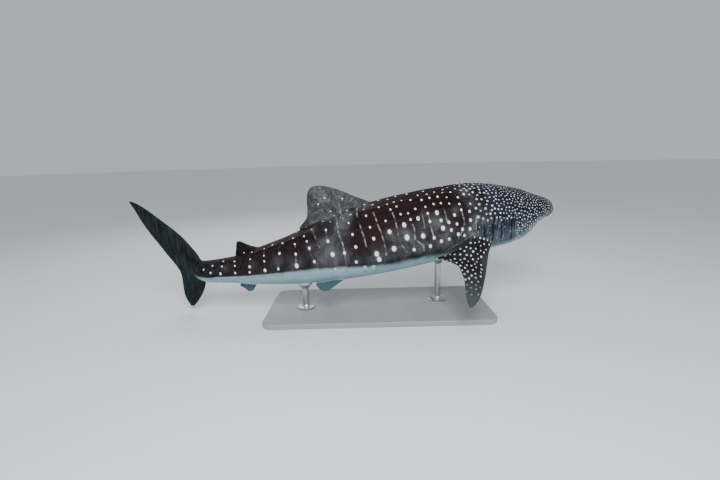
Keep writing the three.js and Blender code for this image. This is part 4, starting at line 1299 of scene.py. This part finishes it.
class Shader:
    """A Principled material under construction, with short ways to add its nodes."""

    def __init__(self, name, **sockets):
        self.material = bpy.data.materials.new(name)
        self.material.use_nodes = True
        self.tree = self.material.node_tree
        self.surface = self.tree.nodes["Principled BSDF"]
        for socket, value in sockets.items():
            self.surface.inputs[socket.replace("_", " ")].default_value = value

    def put(self, target, value):
        if isinstance(value, bpy.types.NodeSocket):
            self.tree.links.new(value, target)
        elif isinstance(value, tuple) and len(value) == 3 and target.type == "RGBA":
            target.default_value = (*value, 1)
        else:
            target.default_value = value

    def node(self, kind, output=0, inputs=None, **settings):
        node = self.tree.nodes.new(kind)
        for key, value in settings.items():
            setattr(node, key, value)
        for key, value in (inputs or {}).items():
            self.put(node.inputs[key], value)
        return node.outputs[output]

    def field(self, name, output="Fac"):
        return self.node("ShaderNodeAttribute", output, attribute_name=name)

    def place(self):
        return self.node("ShaderNodeTexCoord", "Object")

    def noise(self, scale, detail=3.0, roughness=0.5, distortion=0.0, vector=None, output="Fac"):
        return self.node("ShaderNodeTexNoise", output, {
            "Vector": self.place() if vector is None else vector, "Scale": scale, "Detail": detail,
            "Roughness": roughness, "Distortion": distortion,
        })

    def math(self, operation, a, b=0.0, clamp=False):
        return self.node("ShaderNodeMath", 0, {0: a, 1: b}, operation=operation, use_clamp=clamp)

    def ramp(self, value, low, high, to_low=0.0, to_high=1.0):
        return self.node("ShaderNodeMapRange", "Result", {
            "Value": value, "From Min": low, "From Max": high, "To Min": to_low, "To Max": to_high,
        }, interpolation_type="SMOOTHSTEP")

    def mix(self, first, second, share, blend="MIX"):
        node = self.tree.nodes.new("ShaderNodeMix")
        node.data_type = "RGBA"
        node.blend_type = blend
        self.put(node.inputs["Factor"], share)
        self.put(node.inputs[6], first)
        self.put(node.inputs[7], second)
        return node.outputs[2]

    def bump(self, height, strength, distance, normal=None):
        inputs = {"Height": height, "Strength": strength, "Distance": distance}
        if normal is not None:
            inputs["Normal"] = normal
        return self.node("ShaderNodeBump", "Normal", inputs)

    def finish(self, **sockets):
        for socket, value in sockets.items():
            self.put(self.surface.inputs[socket.replace("_", " ")], value)
        return self.material


def skin_material():
    """The skin's layers in order: tone, clouds, swirls, halos, streaks, speckle, bars, spots and painted
    shade in the openings. The clouds and the speckle are weaker on the belly."""
    s = Shader("shark_skin", Specular_IOR_Level=0.12)
    clouds = s.noise(6.5, detail=6, roughness=0.62, distortion=0.8)
    marbling = s.ramp(s.field("belly"), 0.0, 1.0, 1.0, 0.18)
    colour = s.mix(s.field("tone", "Color"), s.ramp(clouds, 0.34, 0.68, 0.5, 1.75), marbling, "MULTIPLY")
    swirls = s.noise(7, detail=3, roughness=0.55, distortion=3.5)
    dark_swirl = s.math("MULTIPLY", s.ramp(swirls, 0.44, 0.56, 0.7, 0.0), s.field("swirl"))
    colour = s.mix(colour, SWIRL_COLOUR, dark_swirl)
    halo = s.math("MULTIPLY", s.ramp(s.field("spot"), -1.0, -0.1, 0.0, 0.55), s.field("patch"))
    colour = s.mix(colour, HALO_COLOUR, halo)
    upright = s.node("ShaderNodeMapping", 0, {"Vector": s.place(), "Scale": (80, 45, 4)})
    lines = s.ramp(s.noise(1.0, detail=3, roughness=0.6, vector=upright), 0.45, 0.72)
    colour = s.mix(colour, STREAK_COLOUR, s.math("MULTIPLY", lines, s.field("streak")))
    speckle = s.noise(150, detail=3, roughness=0.6)
    colour = s.mix(colour, s.ramp(speckle, 0.35, 0.7, 0.75, 1.45), marbling, "MULTIPLY")

    wobble = s.math("MULTIPLY", s.math("SUBTRACT", s.noise(42, detail=2), 0.5), 0.010)
    bar_distance = s.math("ADD", s.field("bar"), wobble)
    bar = s.ramp(bar_distance, BAR_HALF_WIDTH * 1.8, BAR_HALF_WIDTH * 0.2)
    bar = s.math("MULTIPLY", bar, s.field("bar_strength"))
    bar = s.math("MULTIPLY", bar, s.ramp(s.noise(19, detail=3), 0.40, 0.58, 0.12, 1.0))
    colour = s.mix(colour, BAR_COLOUR, bar)
    spot_edge = s.math("MULTIPLY", s.math("SUBTRACT", s.noise(70, detail=2), 0.5), 0.35)
    spot = s.ramp(s.math("ADD", s.field("spot"), spot_edge), -0.12, 0.32)
    spot = s.math("MULTIPLY", spot, s.field("spot_strength"))
    colour = s.mix(colour, SPOT_COLOUR, spot)
    # Painted shade: openings and slits are darkened as shade falls into them
    colour = s.mix(colour, OPENING_SHADE_COLOUR, s.ramp(s.field("opening_shade"), 0.15, 0.9, 0.0, 0.97))
    rough = s.ramp(clouds, 0.3, 0.7, 0.50, 0.66)
    grain = s.bump(s.noise(650, detail=2), 0.22, 0.0012)
    folds = s.bump(s.noise(34, detail=4, roughness=0.6), 0.2, 0.005, grain)
    return s.finish(Base_Color=colour, Roughness=rough, Normal=folds)


def plinth_material():
    """Grey paint, a little worn in small spots."""
    s = Shader("painted_plinth")
    dark, light, worn = PLINTH_COLOURS
    tint = s.mix(dark, light, s.noise(2.2, detail=5))
    tint = s.mix(tint, worn, s.ramp(s.noise(60, detail=3), 0.62, 0.8, 0.0, 0.35))
    rough = s.ramp(s.noise(9, detail=4), 0.3, 0.7, 0.42, 0.6)
    return s.finish(Base_Color=tint, Roughness=rough, Normal=s.bump(s.noise(420, detail=1), 0.2, 0.0008))


def steel_material():
    """Steel brushed in upright lines."""
    s = Shader("brushed_steel", Metallic=1.0, Anisotropic=0.6)
    stretched = s.node("ShaderNodeMapping", 0, {"Vector": s.place(), "Scale": (6, 6, 900)})
    lines = s.noise(1.0, detail=3, vector=stretched)
    tint = s.mix(*STEEL_COLOURS, lines)
    return s.finish(Base_Color=tint, Roughness=s.ramp(lines, 0.2, 0.8, 0.24, 0.42),
                    Normal=s.bump(lines, 0.15, 0.0004))


def eye_material():
    """A dark pupil in a brown iris with a dark edge, by the angle from the eye's axis."""
    s = Shader("shark_eye", Roughness=0.08, Coat_Weight=1.0, Coat_Roughness=0.03)
    gaze = s.field("gaze")
    fibres = s.noise(260, detail=3)
    iris = s.mix(*IRIS_COLOURS, fibres)
    ringed = s.mix(iris, IRIS_EDGE_COLOUR, s.ramp(gaze, 0.72, 0.86))
    return s.finish(Base_Color=s.mix(PUPIL_COLOUR, ringed, s.ramp(gaze, 0.36, 0.42)))


# Pieces

EYE_SEGMENTS = 48
EYE_RINGS = 32


def make_eye(side):
    """An eyeball whose pole looks outwards."""
    here, outward = flank_outward(EYE_STATION, EYE_HEIGHT, side)
    name = "right" if side > 0 else "left"
    bm = bmesh.new()
    bmesh.ops.create_uvsphere(bm, u_segments=EYE_SEGMENTS, v_segments=EYE_RINGS, radius=EYE_RADIUS)
    turn = Vector(outward).to_track_quat("Z", "Y").to_matrix().to_4x4()
    gaze = [math.acos(max(-1, min(1, v.co.z / EYE_RADIUS))) for v in bm.verts]
    bmesh.ops.transform(bm, matrix=Matrix.Translation(here - outward * EYE_SUNK) @ turn, verts=bm.verts)
    mesh = bpy.data.meshes.new(f"eyeball_{name}")
    bm.to_mesh(mesh)
    bm.free()
    mesh.polygons.foreach_set("use_smooth", np.ones(len(mesh.polygons), bool))
    set_field(mesh, "gaze", np.array(gaze))
    eye = bpy.data.objects.new(f"eyeball_{name}", mesh)
    bpy.context.scene.collection.objects.link(eye)
    mesh.materials.append(eye_material())
    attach(eye, "root")
    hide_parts(f"eye_{name}")


def make_skin():
    skin = joined_skin()
    mesh = skin.data
    points, part = soften_joins(mesh)
    mark_skin(skin, points, part)
    for name in ("part", "span", "chord", "face"):
        mesh.attributes.remove(mesh.attributes[name])
    mesh.polygons.foreach_set("use_smooth", np.ones(len(mesh.polygons), bool))
    mesh.materials.clear()
    mesh.materials.append(skin_material())
    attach(skin, "root")
    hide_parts(*FLESH_NODES)


def finish_stand():
    plinth = plinth_material()
    steel = steel_material()
    for name, material in (("stand_base", plinth), ("stand_rod_front", steel), ("stand_rod_rear", steel)):
        for slot in bpy.data.objects[name].material_slots:
            slot.link = "OBJECT"
            slot.material = material


# Floor, light and camera

FLOOR_RADIUS = 90
FLOOR_CORNERS = 96
SKY_COLOUR = (0.80, 0.86, 0.92, 1)
SKY_STRENGTH = 0.62
# Each lamp's name, place, size in metres and power in watts; all look at the middle of the shark
LAMPS = [
    ("key", (0.5, -6.0, 5.5), 4.0, 640),
    ("back", (-2.5, 5.0, 5.5), 5.0, 150),
]
LAMP_TARGET = (0, 0, 0.9)


def make_floor():
    bpy.ops.mesh.primitive_circle_add(
        vertices=FLOOR_CORNERS, radius=FLOOR_RADIUS, fill_type="NGON", location=(0, 0, 0),
    )
    floor = bpy.context.object
    floor.name = "floor"
    s = Shader("floor")
    tint = s.mix(*FLOOR_COLOURS, s.noise(1.5, detail=4))
    floor.data.materials.append(s.finish(Base_Color=tint, Roughness=s.ramp(s.noise(8), 0.3, 0.7, 0.7, 0.9)))


def make_light():
    world = bpy.data.worlds.new("soft")
    bpy.context.scene.world = world
    world.use_nodes = True
    sky = world.node_tree.nodes["Background"]
    sky.inputs["Color"].default_value = SKY_COLOUR
    sky.inputs["Strength"].default_value = SKY_STRENGTH
    for name, location, size, energy in LAMPS:
        lamp = bpy.data.lights.new(name, "AREA")
        lamp.energy = energy
        lamp.size = size
        lit = bpy.data.objects.new(name, lamp)
        lit.location = location
        lit.rotation_euler = (Vector(LAMP_TARGET) - lit.location).to_track_quat("-Z", "Y").to_euler()
        bpy.context.scene.collection.objects.link(lit)


def make_camera():
    camera_data = bpy.data.cameras.new("camera")
    camera_data.sensor_width = SENSOR_WIDTH
    camera_data.sensor_fit = "HORIZONTAL"
    camera_data.lens = SENSOR_WIDTH * FOCAL_PIXELS / PHOTO_WIDTH
    camera_data.clip_end = VIEW_REACH
    camera = bpy.data.objects.new("camera", camera_data)
    camera.matrix_world = camera_matrix()
    bpy.context.scene.collection.objects.link(camera)
    bpy.context.scene.camera = camera


make_skin()
make_eye(1)
make_eye(-1)
finish_stand()
make_floor()
make_light()
make_camera()
